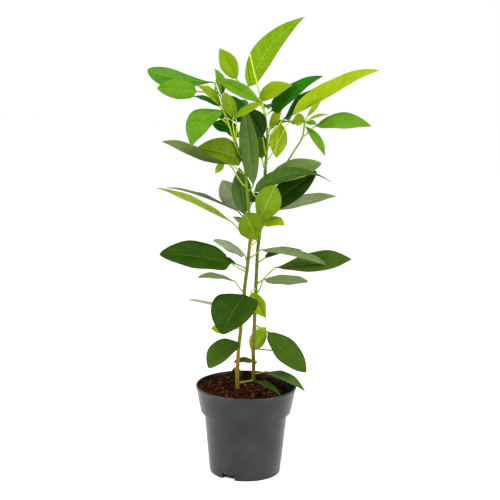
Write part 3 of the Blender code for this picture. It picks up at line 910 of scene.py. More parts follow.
RIGHT_STEM_LEAVES = [
    # Its sage tone carries a painted grey sheen
    Leaf("rim_right_leaf", 154, (27, 331, 15), (91, 315, -8), 31, (298, 72), 4, 16, 0, SAGE, 0.4),
    Leaf("low_back_leaf", 169, (12, 60, 20), (43, 162, -7), 32, (81, 56), 2, 6, 0, OLIVE),
    Leaf("hidden_stalk_leaf", 199, (37, 20, -8), (79, 46, -14), 34, (60, 70), 4, 10, 0, MATURE),
    Leaf("low_yellow_leaf", 236, (25, 35, -5), (48, 168, -58), 29, (255, 15), 2, 10, 0,
         YOUNG, habit=BLUNT),
    Leaf("low_right_leaf", 242, (26, 340, -19), (95, 340, -42), 53, (300, 40), -5, 16, 0,
         MOSS, habit=BLUNT),
    Leaf("right_small_leaf", 301, (28, 352, 59), (78, 15, -5), 42, (100, 54), -1, 6, 0,
         MATURE, habit=FULL),
    Leaf("hanging_light_leaf", 308, (21, 248, -6), (52, 338, -57), 28, (250, 22), 0, 16, 0,
         GOLD, 0.46, TRAILING),
    Leaf("right_long_leaf", 318, (46, 342, 40), (128, 349, 10), 46, (270, 50), -1, 14, 0, MOSS, 0.6),
    Leaf("mid_curl_leaf", 402, (41, 278, 47), (43, 319, 6), 28, (240, 60), -4, 8, 0,
         GOLD, habit=HOOKED),
    Leaf("mid_far_right_leaf", 414, (37, 25, 54), (112, 11, 12), 45, (90, 54), 2, 8, 0, MATURE),
    # Its deep tone is painted shade
    Leaf("mid_lower_right_leaf", 435, (13, 47, 43), (107, 7, 38), 46, (270, 40), 2, 10, 0,
         DEEP, habit=BLUNT),
    # Its deep underside is painted shade
    Leaf("mid_arch_leaf", 459, (40, 243, 32), (127, 354, 12), 32, (90, 44), 24, 8, 50,
         OLIVE, 0.4, POINTED, DEEP),
    # Its ash tone carries a painted grey sheen
    Leaf("mid_upper_right_leaf", 484, (16, 59, 42), (96, 13, 17), 45, (262, 48), 2, 10, 0,
         ASH, habit=BLUNT),
]

LEFT_CROWN_LEAVES = [
    Leaf("upper_folded", 514, (18, 200, 69), (82, 202, 16), 52, (270, 42), 6, 18, 0, OLIVE, 0.42),
    Leaf("upper_tip", 506, (44, 159, 28), (25, 203, -52), 12, (270, 10), 0, 6, 0, YOUNG),
    Leaf("long_tip", 636, (24, 158, 58), (107, 190, 10), 34, (105, -27), 2, 8, 0,
         FRESH, 0.66, SWUNG, GREEN),
    Leaf("broad_front", 640, (36, 202, 4), (64, 196, 5), 34, (285, 18), 4, 8, 0, FRESH, habit=FULL),
    Leaf("folded_small", 617, (6, 238, 25), (53, 206, 39), 22, (270, 50), 2, 20, 0, GOLD),
    Leaf("under_small", 612, (11, 149, 32), (47, 167, 20), 24, (270, 78), 2, 10, 0, GREEN),
    Leaf("twisted_small", 627, (10, 295, 74), (44, 209, 73), 22, (315, 12), 2, 16, 0, FRESH),
    Leaf("bright_band", 643, (20, 54, 72), (82, 346, -26), 27, (272, 42), 1, 16, 0, FRESH),
    Leaf("shade_behind", 541, (54, 79, 68), (55, 184, 55), 36, (270, 20), 0, 8, 0, GREEN),
    Leaf("pale_back", 559, (43, 269, 68), (50, 213, 63), 22, (120, 30), 0, 14, 0, OLIVE),
    Leaf("point_right", 559, (48, 262, 65), (53, 340, 28), 22, (270, 50), 0, 14, 0, GOLD),
    Leaf("big_droop", 533, (88, 206, 65), (80, 213, -44), 56, (235, 35), 18, 8, 0, FRESH),
    Leaf("dark_behind", 540, (39, 108, 66), (53, 147, 14), 30, (270, 45), 2, 8, 0, GREEN),
]

RIGHT_CROWN_LEAVES = [
    Leaf("top_sword", 625, (33, 174, 46), (145, 353, 52), 47, (115, 27), 22, 8, 0,
         YOUNG, 0.38, under=FRESH),
    Leaf("top_oval", 624, (56, 178, 42), (57, 200, 59), 30, (280, 15), 0, 10, 0, GOLD),
    Leaf("light_right", 617, (17, 214, 60), (59, 347, 24), 34, (255, 42), 3, 10, 0, GOLD, 0.42),
    Leaf("mid_dark_right", 604, (14, 340, 34), (99, 350, 38), 34, (270, 48), 5, 12, 0,
         GREEN, 0.3, HEELED),
    Leaf("great_right", 568, (42, 338, 48), (171, 350, 31), 58, (90, 85), -4, 52, -64,
         GREEN, 0.33, HEELED, YOUNG),
    # Its deep tone is painted shade
    Leaf("dark_left_shade", 538, (32, 224, 72), (56, 192, 60), 40, (270, 15), 0, 8, 0, DEEP),
    Leaf("hanging_yellow", 550, (46, 8, 62), (57, 225, -81), 30, (262, 8), 0, 10, 0, YOUNG),
    Leaf("pale_behind", 572, (16, 73, 25), (45, 33, 61), 16, (90, 30), 0, 10, 0, YOUNG),
    Leaf("low_shade", 512, (21, 125, 64), (50, 157, 78), 26, (281, 7), 0, 8, 0, OLIVE, habit=BLUNT),
    Leaf("stalked_small", 527, (84, 338, 57), (20, 348, 3), 22, (260, 30), 0, 10, 0,
         YOUNG, habit=BLUNT),
]

SIDE_CROWN_LEAVES = [
    Leaf("bud", 593, (12, 331, 70), (35, 345, 50), 9, (260, 28), 0, 20, 0, YOUNG),
    Leaf("pale_narrow", 592, (11, 342, 48), (32, 349, 17), 9, (260, 55), 1, 20, 0, YOUNG),
    Leaf("small_right", 590, (7, 305, 45), (18, 337, -4), 12, (265, 48), 1, 10, 0, FRESH),
    Leaf("narrow_hanging", 588, (4, 316, 4), (56, 347, -54), 18, (300, 28), 4, 10, 0, FRESH),
    Leaf("arched_right", 571, (28, 349, 41), (90, 352, 2), 36, (270, 48), 10, 10, 0, FRESH),
]

# Leaves at the back: heights and bearings of their nodes. A seeded rule sets their sizes.
BACK_SEED = 7
BACK_NODES = {
    "left_stem": ((250, 116), (350, 148), (425, 103), (449, 74)),
    "right_stem": ((262, 126), (354, 40), (423, 76), (474, 72)),
    "left_crown": ((560, 88), (590, 118), (622, 66)),
    "right_crown": ((545, 100), (580, 62), (612, 84)),
    "side_crown": (),
}
BACK_SWAY = 6.0
BACK_RISE = (-10, 8)
BACK_STALK = (18, 26)
BACK_LIFT = 14.0
BACK_LENGTH = (68, 92)
BACK_WIDTH_SHARE = 0.42


def back_leaves(stem_name: str, tone: Tone) -> list[Leaf]:
    """Leaves that point away at the back of one stem, each size drawn from its range.

    Args:
        stem_name: The stem or crown that carries them, a key of BACK_NODES.
        tone: Their shade.

    Returns:
        A row for each.
    """
    rng = random.Random(BACK_SEED + len(stem_name))
    rows = []
    for index, (node, bearing) in enumerate(BACK_NODES[stem_name]):
        rise = rng.uniform(*BACK_RISE)
        length = rng.uniform(*BACK_LENGTH)
        sway = rng.uniform(-BACK_SWAY, BACK_SWAY)
        stalk = (rng.uniform(*BACK_STALK), bearing + sway, rise + BACK_LIFT)
        blade, faces = (length, bearing, rise), (bearing + 180, 75)
        name = f"{stem_name}_back_leaf_{index + 1}"
        rows.append(Leaf(name, node, stalk, blade, BACK_WIDTH_SHARE * length, faces, 5, 12, 0, tone))
    return rows


@dataclass(frozen=True)
class Limb:
    """A tapering limb: knots of its centre line in millimetres, and its radii at foot and tip."""

    knots: Sequence[Triple]
    radii: tuple[float, float]
    steps: int = 120

    def path(self) -> np.ndarray:
        """Points along its centre line, in metres."""
        return smooth_path(self.knots, self.steps)

    def at_height(self, height: float) -> tuple[np.ndarray, float]:
        """Where the limb is at a height, and how thick.

        Args:
            height: A height in millimetres.

        Returns:
            The centre and the radius there, in metres.
        """
        path = self.path()
        radii = np.linspace(*self.radii, self.steps) * MM
        centre = [np.interp(height * MM, path[:, 2], path[:, axis]) for axis in range(3)]
        return np.array(centre), float(np.interp(height * MM, path[:, 2], radii))


@dataclass(frozen=True)
class LeafPress:
    """Draws a leaf as one closed skin: a round stalk that widens into a thin blade with its veins.

    Attributes:
        rows_per_vein: Rows of points from one side vein to the next.
        shares: Places of the columns on a half, from the midrib at 0 to the margin at 1.
        bunching: How much closer the rows stand at the base and the tip.
        stalk_rows: Rows along the stalk.
        stalk_radius: The stalk's radius.
        stalk_flatness: How much flatter the stalk leaves the stem than it runs.
        stalk_pull: How far each end of the stalk keeps its direction, as a share of its length.
        root_gap: How far from the bark a single leaf starts, before its foot is sunk in.
        sink: How far the foot is sunk into the stem, as a share of the stem's radius.
        thickness: The blade's thickness beside the midrib.
        least_half: The half-width at the very tip.
        quilting: How far the blade swells between side veins, on a leaf as wide as quilt_width.
        quilt_width: Width of a leaf with full quilting.
        most_quilting: How many times that a wider leaf may have.
        groove: Depth of the groove along the midrib above, and how far to each side it reaches.
        rib_reach: How far to each side the midrib's ridge reaches below.
        thread: How far a side vein stands out below.
        sweep: How far a side vein runs forward, as a share of the leaf's width.
        most_sweep: The most that it runs forward, as a share of the length.
        hook_start: The share of the length where the tip starts to drop.
        settled: The share of the length over which the halves take up their fold.
        fading: The share of the length over which waves and groove die out at the tip.
        strip: Scale and corner of the stalk's part of the bake map.
        panel: The same of the upper side's part. The underside's lies half a map to its right.
    """

    rows_per_vein: int = 4
    shares: tuple[float, ...] = (0.0, 0.035, 0.1, 0.24, 0.42, 0.6, 0.78, 0.93, 1.0)
    bunching: float = 0.33
    stalk_rows: int = 10
    stalk_radius: float = 1.25 * MM
    stalk_flatness: float = 0.4
    stalk_pull: tuple[float, float] = (0.3, 0.15)
    root_gap: float = 0.4 * MM
    sink: float = 0.6
    thickness: float = 0.5 * MM
    least_half: float = 0.3 * MM
    quilting: float = 0.28 * MM
    quilt_width: float = 40 * MM
    most_quilting: float = 1.3
    groove: tuple[float, float] = (0.45 * MM, 0.9 * MM)
    rib_reach: float = 1.1 * MM
    thread: float = 0.12 * MM
    sweep: float = 0.4
    most_sweep: float = 0.17
    hook_start: float = 0.68
    settled: float = 0.2
    fading: float = 0.3
    strip: tuple[tuple[float, float], ...] = ((0.96, 0.5), (0.02, 0.01))
    panel: tuple[tuple[float, float], ...] = ((0.46, 0.84), (0.02, 0.14))

    def outline(self, leaf: Leaf, share: np.ndarray) -> np.ndarray:
        """Half-width as a share of its widest: half a sine wave, with its own power to each side.

        Args:
            leaf: The leaf's row.
            share: Shares of the length.

        Returns:
            One value for each.
        """
        wave = np.sin(math.pi * np.clip(share, 0, 1) ** (math.log(0.5) / math.log(leaf.widest)))
        power = np.where(share < leaf.widest, leaf.habit.heel, leaf.habit.point)
        return np.clip(wave, 0, 1) ** power

    def midrib(self, leaf: Leaf, base: np.ndarray, share: np.ndarray) -> np.ndarray:
        """Points on the midrib: the chord plus the bow times 4 t (1 - t), less the tip's drop.

        Args:
            leaf: The leaf's row.
            base: Where the blade starts.
            share: Shares t of the length, from base to tip.

        Returns:
            The points, with 3 as the last axis.
        """
        chord, normal, bow = leaf.axes()
        late = np.clip((share - self.hook_start) / (1 - self.hook_start), 0, None)[..., None] ** 2
        share = share[..., None]
        drop = late * leaf.habit.hook * MM * normal
        return base + share * leaf.blade[0] * MM * chord + 4 * share * (1 - share) * bow - drop

    def frame(self, leaf: Leaf, base: np.ndarray, along: np.ndarray) -> tuple[np.ndarray, np.ndarray]:
        """Directions to the right and up at each point, turned about the midrib by the twist.

        Args:
            leaf: The leaf's row.
            base: Where the blade starts.
            along: The share of the length at each point.

        Returns:
            The two directions, with 3 as their last axis.
        """
        face, step = direction(*leaf.faces), 1e-3
        forward = unit(self.midrib(leaf, base, along + step) - self.midrib(leaf, base, along - step))
        up = unit(face - dots(forward, face) * forward)
        right = np.cross(forward, up)
        turn = np.radians(leaf.twist) * (along - 0.5)[..., None]
        return right * np.cos(turn) - up * np.sin(turn), up * np.cos(turn) + right * np.sin(turn)

    def spread(self, leaf: Leaf, along: np.ndarray, half: np.ndarray) -> list[np.ndarray]:
        """How far each point of a half lies beside the midrib, and how far above it.

        A half leaves the midrib at the fold's slope, steeper at first and flatter later. The slope's
        cosine and sine are summed along the half.

        Args:
            leaf: The leaf's row.
            along: The share of the length at each point.
            half: The half-width there, in metres.

        Returns:
            Both distances, in metres.
        """
        share, habit = np.array(self.shares), leaf.habit
        settle = smoothstep(along / self.settled)
        slope = leaf.fold * settle + habit.belly * settle * (1 - 2 * share) - habit.curl * share**3
        middle = np.radians((slope[:, 1:] + slope[:, :-1]) / 2)
        start = np.zeros((len(along), 1))
        sums = (np.cumsum(ratio(middle) * np.diff(share), axis=1) for ratio in (np.cos, np.sin))
        return [half * np.concatenate([start, total], axis=1) for total in sums]

    def relief(
        self, leaf: Leaf, spaced: np.ndarray, reach: np.ndarray
    ) -> tuple[np.ndarray, np.ndarray]:
        """Heights of the upper side and the underside over the middle of the blade.

        The blade swells between side veins by a cosine wave and thins to its margin. The groove over
        the midrib and the ridge under it are bell curves. A thread stands out under each side vein.

        Args:
            leaf: The leaf's row.
            spaced: The share of the length at each row.
            reach: How far beside the midrib each point lies, in metres.

        Returns:
            Both heights, in metres.
        """
        share = np.array(self.shares)
        beat = np.arange(len(spaced))[:, None] / self.rows_per_vein
        between = 0.5 - 0.5 * np.cos(2 * math.pi * beat)
        ends = smoothstep(spaced / 0.08) * smoothstep((1 - spaced) / 0.08)
        plump = np.sin(math.pi * share**0.8) * ends
        quilts = min(self.most_quilting, leaf.width * MM / self.quilt_width)
        swell = self.quilting * quilts * between * plump
        sheet = self.thickness / 2 * np.sqrt(1 - share**6)
        deep, wide = self.groove
        groove = deep * smoothstep((1 - spaced) / self.fading) * np.exp(-((reach / wide) ** 2))
        rib = self.stalk_radius * (1.15 - 0.85 * spaced) * np.exp(-((reach / self.rib_reach) ** 2))
        return swell + sheet - groove, swell - sheet - rib - self.thread * (1 - between) ** 2 * plump

    def blade(
        self, leaf: Leaf, base: np.ndarray, even: np.ndarray, round_end: np.ndarray
    ) -> tuple[np.ndarray, np.ndarray]:
        """Rings over the blade, from the stalk's round end to the tip.

        Side veins run forward: a column's t is its row's plus the sweep times its share of the half.
        Over the first twentieth each ring eases from the stalk's circle into the blade's thin outline.

        Args:
            leaf: The leaf's row.
            base: Where the blade starts.
            even: A share of the length for each row, evenly spaced.
            round_end: The stalk's circle: for each point its way to the right and up, in metres.

        Returns:
            An array of rings by points by 3, and the direction up at the base.
        """
        share = np.array(self.shares)
        spaced = even - self.bunching * np.sin(2 * math.pi * even) / (2 * math.pi)
        run = min(self.most_sweep, self.sweep * leaf.width / leaf.blade[0])
        along = spaced + run * share**1.25 * 4 * spaced * (1 - spaced)
        right, up = self.frame(leaf, base, along)
        half = np.maximum(leaf.width / 2 * MM * self.outline(leaf, along), self.least_half)
        reach, rise = self.spread(leaf, along, half)
        spine = self.midrib(leaf, base, along)
        phase = 2 * math.pi * (2.3 * along + leaf.node * 0.37)
        fade = smoothstep((1 - spaced) / self.fading)
        sheets = []
        for side in (-1, 1):
            wave = half * leaf.habit.wave * share**2 * np.sin(phase + side) * fade
            across = spine + side * right * reach[..., None]
            for height in self.relief(leaf, spaced, reach):
                sheets.append(across + up * (rise + wave + height)[..., None])
        left_top, left_under, right_top, right_under = sheets
        order = (left_top[:, ::-1], right_top[:, 1:], right_under[:, -2::-1], left_under[:, 1:-1])
        circle = spine[:, :1] + round_end[0] * right[:, :1] + round_end[1] * up[:, :1]
        join = smoothstep(spaced / 0.05)[..., None]
        return np.concatenate(order, axis=1) * join + (1 - join) * circle, up[0, 0]

    def skin(self, leaf: Leaf, limb: Limb, fused: bool) -> Skin:
        """Draw one leaf on its limb. A leaf under 80 mm has a thinner stalk.

        Args:
            leaf: The leaf's row.
            limb: What carries it.
            fused: True on a crown, where the stalk's path starts at the limb's centre.

        Returns:
            The leaf's closed skin. Slot 0 is the upper side, 1 the underside and 2 the stalk.
        """
        centre, radius = limb.at_height(leaf.node)
        outwards = direction(leaf.stalk[1], 0.0)
        base = centre + leaf.stalk[0] * MM * direction(*leaf.stalk[1:])
        root = centre + (0.0 if fused else radius + self.root_gap) * outwards
        even = np.linspace(0, 1, VEINS * self.rows_per_vein + 1)[:, None]
        angles = np.linspace(math.pi, -math.pi, 4 * (len(self.shares) - 1), endpoint=False)
        thick = self.stalk_radius * min(1.0, 0.6 + 5 * leaf.blade[0] * MM)
        round_end = thick * np.stack([np.cos(angles), np.sin(angles)])[:, None, :, None]
        blade, up = self.blade(leaf, base, even, round_end)
        chord, _, bow = leaf.axes()
        stalk = self.stalk(root, base, unit(leaf.blade[0] * MM * chord + 4 * bow), up, round_end)
        if not fused:
            stalk[0] -= outwards * (self.root_gap + self.sink * radius)
        share = np.array(self.shares)
        signed = np.concatenate([-share[::-1], share[1:], share[-2::-1], -share[1:]])
        return self.mapped(lofted(np.concatenate([stalk, blade])), signed, even[:, 0])

    def stalk(
        self,
        root: np.ndarray,
        base: np.ndarray,
        ahead: np.ndarray,
        up: np.ndarray,
        round_end: np.ndarray,
    ) -> np.ndarray:
        """Rings along the stalk: a cubic curve that leaves the stem flatter and meets the midrib.

        Args:
            root: Where it leaves the stem.
            base: Where the blade starts.
            ahead: The midrib's direction there.
            up: The upper side's direction there.
            round_end: The stalk's circle: for each point its way to the right and up, in metres.

        Returns:
            An array of rings by points by 3.
        """
        gap = base - root
        leave, meet = np.array(self.stalk_pull) * np.linalg.norm(gap)
        leaving = unit(unit(gap) + self.stalk_flatness * unit(gap * np.array([1, 1, 0])))
        handles = np.stack([root, root + leave * leaving, base - meet * ahead, base])
        share = np.linspace(0, 0.94, self.stalk_rows)[:, None]
        rest = 1 - share
        places = np.concatenate([rest**3, 3 * share * rest**2, 3 * share**2 * rest, share**3], 1)
        slopes = np.concatenate([3 * rest**2, 6 * share * rest, 3 * share**2], 1)
        forward = unit(slopes @ np.diff(handles, axis=0))
        raised = unit(up - dots(forward, up) * forward)
        beside = np.cross(forward, raised)
        swelling = 1 + 0.55 * np.exp(-share / 0.07) + 0.12 * share**4
        around = round_end[0] * beside[:, None] + round_end[1] * raised[:, None]
        return (places @ handles)[:, None] + swelling[..., None] * around

    def mapped(self, skin: Skin, signed: np.ndarray, along: np.ndarray) -> Skin:
        """Fill in a leaf's slots and maps.

        The leaf map runs from margin to margin and from base to tip. The bake map has the upper side
        on the left, the underside on the right and the stalk in a strip below.

        Args:
            skin: The leaf's skin, row after row.
            signed: The share of the half at each edge of a ring, below 0 on the left.
            along: The share of the length at each row of the blade.

        Returns:
            The same skin.
        """
        sides, uppers = len(signed) - 1, 2 * (len(self.shares) - 1)
        heights = np.concatenate([np.zeros(self.stalk_rows), along])
        skin.leaf_map = corner_map(signed / 2 + 0.5, heights)
        column = np.tile(np.arange(sides), len(heights) - 1)
        row = np.repeat(np.arange(len(heights) - 1), sides)
        skin.slots = np.where(row < self.stalk_rows, 2, np.where(column < uppers, 0, 1))
        skin.cap_slot = 2
        whole = corner_map(np.linspace(0, 1, sides + 1), np.linspace(0, 1, len(heights)))
        (strip_scale, strip_at), (panel_scale, panel_at) = np.array(self.strip), np.array(self.panel)
        below = (column >= uppers)[:, None, None] * np.array([0.5, 0.0])
        on_stalk = (skin.slots == 2)[:, None, None]
        panel = skin.leaf_map * panel_scale + panel_at + below
        skin.bake_map = np.where(on_stalk, whole * strip_scale + strip_at, panel)
        return skin


PRESS = LeafPress()


def leaf_materials(leaf: Leaf) -> list[bpy.types.Material]:
    """The upper side's, the underside's and the stalk's material for this leaf."""
    upper, under = FINISHES[leaf.tone][0], FINISHES[leaf.under or leaf.tone][1]
    return [finish.material() for finish in (upper, under, STALKS.get(leaf.tone, BRIGHT_STALK))]


def place(piece: bpy.types.Object, slot: str, *nodes: str) -> None:
    """Put a finished piece on the plant's body and let it stand for its nodes.

    Args:
        piece: The piece.
        slot: Its material slot; not used.
        *nodes: The nodes that it stands for.
    """
    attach(piece, BODY)
    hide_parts(*nodes)
    log.info("%s: %d faces", piece.name, len(piece.data.polygons))


@dataclass
class Stem:
    """A stem or shoot with swollen leaf nodes, long ridges and a slight bend at each node.

    Attributes:
        name: Its piece's name.
        limb: Its centre line and radii.
        nodes: Heights of its leaf nodes, in millimetres.
        finish: Its bark or skin.
        spacing: Mean distance between the scars of fallen leaves, in millimetres, or 0 for none.
        sides: Points round it.
        swelling: How far a node stands out, as a share of the radius.
        seed: Chooses the scars' places.
        bud: Length of the pointed bud at its tip, in millimetres, or 0 for a level cut.
        ring: Half the width of the scarred ring at a node, in millimetres.
        shelf: How far a node's swelling reaches above and below it, in millimetres.
        sway: Swing and pitch of the slight bends, as a share of the radius and in millimetres.
        ridges: The number, depth and pitch of each set of winding ridges, in shares and millimetres.
    """

    name: str
    limb: Limb
    nodes: Sequence[float]
    finish: BarkFinish | ShootFinish
    spacing: float = 0.0
    sides: int = 24
    swelling: float = 0.07
    seed: int = 3
    bud: float = 0.0
    ring: float = 1.3
    shelf: tuple[float, float] = (0.9, 4.0)
    sway: tuple[float, float] = (0.06, 9.0)
    ridges: tuple[Triple, ...] = ((5, 0.03, 14), (3, 0.02, -9))

    def scars(self) -> np.ndarray:
        """Heights of all the rings: the leaf nodes, and scars spaced about evenly between them.

        Returns:
            The heights, in millimetres.
        """
        if not self.spacing:
            return np.array(self.nodes, float)
        rng = np.random.default_rng(self.seed)
        low, high = self.limb.knots[0][2], self.limb.knots[-1][2]
        count = int((high - low) / self.spacing)
        spread = low + 6 + (np.arange(count) + rng.uniform(-0.3, 0.3, count)) * self.spacing
        nearest = np.abs(spread[:, None] - np.array(self.nodes)[None, :]).min(axis=1)
        return np.concatenate([np.array(self.nodes, float), spread[nearest > 0.4 * self.spacing]])

    def rings(self) -> tuple[np.ndarray, np.ndarray]:
        """Rings square to the centre line, and how scarred each is.

        The radius is the taper, times one plus a bell curve at each node, plus faint ridges that wind
        slowly round the stem.

        Returns:
            An array of rings by points by 3, and one value a ring from 0 to 1.
        """
        path = self.limb.path()
        radii = np.linspace(*self.limb.radii, self.limb.steps) * MM
        height = path[:, 2] / MM
        offset = height[:, None] - self.scars()[None, :]
        ring = np.exp(-((offset / self.ring) ** 2)).max(axis=1)
        above, below = offset.clip(0) / self.shelf[0], offset.clip(None, 0) / self.shelf[1]
        shelf = np.exp(-(above**2 + below**2)).max(axis=1)
        forward = unit(np.gradient(path, axis=0))
        around = spokes(forward, (0, 1, 0), self.sides)
        swing, pitch = self.sway
        centre = path + around[:, 0] * (swing * radii * np.sin(height / pitch + self.seed))[:, None]
        turns, climb = full_turn(self.sides), height[:, None]
        winding = (depth * np.sin(n * turns + climb / pitch) for n, depth, pitch in self.ridges)
        wide = radii[:, None] * (1 + self.swelling * shelf[:, None] + sum(winding))
        rings = centre[:, None] + wide[..., None] * around
        if self.bud:
            cone = self.cone(rings[-1], centre[-1], forward[-1])
            rings = np.concatenate([rings, cone])
            ring = np.concatenate([ring, np.zeros(len(cone))])
        return rings, ring

    def cone(self, last: np.ndarray, centre: np.ndarray, ahead: np.ndarray) -> np.ndarray:
        """Rings over the bud: the last ring carried ahead, swollen a little, then drawn in to a point.

        Args:
            last: The stem's last ring.
            centre: Its centre.
            ahead: The stem's direction there.

        Returns:
            An array of rings by points by 3.
        """
        share = np.linspace(0, 1, 9)[1:, None, None]
        narrow = (1 - share**1.6) * (1 + 0.5 * np.sin(math.pi * share**0.7)) * 0.97 + 0.03
        return centre + ahead * share * self.bud * MM + (last - centre)[None] * narrow

    def build(self, slot: str, node: str) -> None:
        """Make the stem's piece, which stands for its node.

        Args:
            slot: Its material slot.
            node: The node.
        """
        rings, ring = self.rings()
        skin = lofted(rings)
        skin.scars = np.repeat(ring, self.sides)
        place(skin.piece(self.name, [self.finish.material()]), slot, node)


@dataclass
class NurseryPot:
    """The pot: a turned wall with a collar and a lip, notched at its foot, and its floor.

    Attributes:
        rim_radius: The lip's outer radius.
        height: From the foot to the top of the lip.
        collar_foot: Outer radius and height of the collar's lower edge.
        body_top: Outer radius and height where the body meets the collar.
        base_radius: The foot's outer radius.
        wall: The wall's thickness.
        floor: The height of the floor's upper side.
        lip: How far the lip stands out.
        notches: How many notches the foot has.
        notch_bearing: The middle of the first, in degrees.
        notch_width: How wide each is.
        notch_height: How high each is.
        notch_reach: How far each cuts into the floor.
        foot_reach: How far up the wall the notches squeeze it.
        easing: How far the outline's corners are rounded, and its two corners under the collar.
        turns: Points round it, besides those at the notches.
        finish: Its plastic.
    """

    rim_radius: float = 85.0 * MM
    height: float = 150.0 * MM
    collar_foot: tuple[float, float] = (76.5 * MM, 106.0 * MM)
    body_top: tuple[float, float] = (70.5 * MM, 104.5 * MM)
    base_radius: float = 60.0 * MM
    wall: float = 1.6 * MM
    floor: float = 3.0 * MM
    lip: float = 1.2 * MM
    notches: int = 3
    notch_bearing: float = 242.0
    notch_width: float = 24.0 * MM
    notch_height: float = 8.0 * MM
    notch_reach: float = 8.0 * MM
    foot_reach: float = 20.0 * MM
    easing: tuple[float, float] = (1.3 * MM, 0.3 * MM)
    turns: int = 240
    finish: PlasticFinish = PlasticFinish("pot_skin")

    def inner_radius(self, height: np.ndarray) -> np.ndarray:
        """The collar's inner radius.

        Args:
            height: Heights above the pot's foot.

        Returns:
            The radius at each, on a straight line up to the lip.
        """
        share = (height - self.collar_foot[1]) / (self.height - self.collar_foot[1])
        foot = self.collar_foot[0]
        return foot - self.wall + share * (self.rim_radius - self.lip - foot)

    def bearings(self) -> tuple[np.ndarray, np.ndarray]:
        """Angles round the pot, evenly spread, with a close pair at each side of each notch.

        Returns:
            The angles in radians, and for each 1 inside a notch or else 0.
        """
        half = math.asin(self.notch_width / 2 / self.base_radius)
        middles = np.radians(self.notch_bearing + np.arange(self.notches) * 360 / self.notches)
        edges = (middles[:, None] + np.array([-half, half])).ravel()
        close = np.concatenate([edges - 0.004, edges + 0.004])
        angles = np.unique(np.concatenate([full_turn(self.turns), close]) % (2 * math.pi))
        off = np.abs((angles[:, None] - middles + math.pi) % (2 * math.pi) - math.pi).min(axis=1)
        return angles, (off < half).astype(float)

    def wall_rings(self) -> np.ndarray:
        """The wall's closed outline turned about the axis, its foot squeezed up inside each notch.

        Returns:
            An array of rings by points by 3.
        """
        (collar_r, collar_z), (body_r, body_z) = self.collar_foot, self.body_top
        wall, lip, rim, top = self.wall, self.lip, self.rim_radius, self.height
        foot_r = self.base_radius + (body_r - self.base_radius) / body_z * self.foot_reach
        corners = [
            (self.base_radius, 0.0),
            (foot_r, self.foot_reach),
            (body_r, body_z),
            (collar_r, collar_z),
            (rim - lip, top - 4.5 * lip),
            (rim, top - 3.2 * lip),
            (rim, top),
            (rim - lip - wall, top),
            (rim - lip - wall, top - lip),
            (collar_r - wall, collar_z + wall),
            (body_r - wall, body_z + wall),
            (foot_r - wall, self.foot_reach),
            (self.base_radius - wall, 0.0),
        ]
        reach = np.full(len(corners), self.easing[0])
        reach[2:4] = self.easing[1]
        outline = rounded(corners, reach)
        angles, inside = self.bearings()
        rings = turned_profile(outline, angles)
        height = rings[..., 2]
        lifted = self.notch_height + height * (1 - self.notch_height / self.foot_reach)
        squeezed = height * (1 - inside) + lifted * inside
        rings[..., 2] = np.where(height < self.foot_reach, squeezed, height)
        return rings

    def floor_rings(self) -> np.ndarray:
        """The floor: a disc that is drawn in at each notch, with shallow rings under it.

        Returns:
            An array of rings by points by 3.
        """
        angles, inside = self.bearings()
        full, cut = self.base_radius - self.wall - 0.2 * MM, self.base_radius - self.notch_reach
        share = np.linspace(0.02, 0.94, 32)
        under = np.stack([share, 0.3 * MM + 0.25 * MM * (1 - np.cos(24 * share))], axis=1)
        rim = [
            (0.97, 0.3 * MM),
            (1.0, 0.8 * MM),
            (1.0, self.floor - 0.5 * MM),
            (0.985, self.floor),
            (0.02, self.floor),
        ]
        rings = turned_profile(np.concatenate([under, rim]), angles)
        rings[..., :2] *= (full * (1 - inside) + cut * inside)[None, :, None]
        return rings

    def build(self) -> None:
        """Make the wall and the floor, which together stand for the pot."""
        skins = {"pot_wall": lofted(self.wall_rings(), True), "pot_floor": lofted(self.floor_rings())}
        for name, skin in skins.items():
            place(skin.piece(name, [self.finish.material()]), "pot_plastic", "pot")


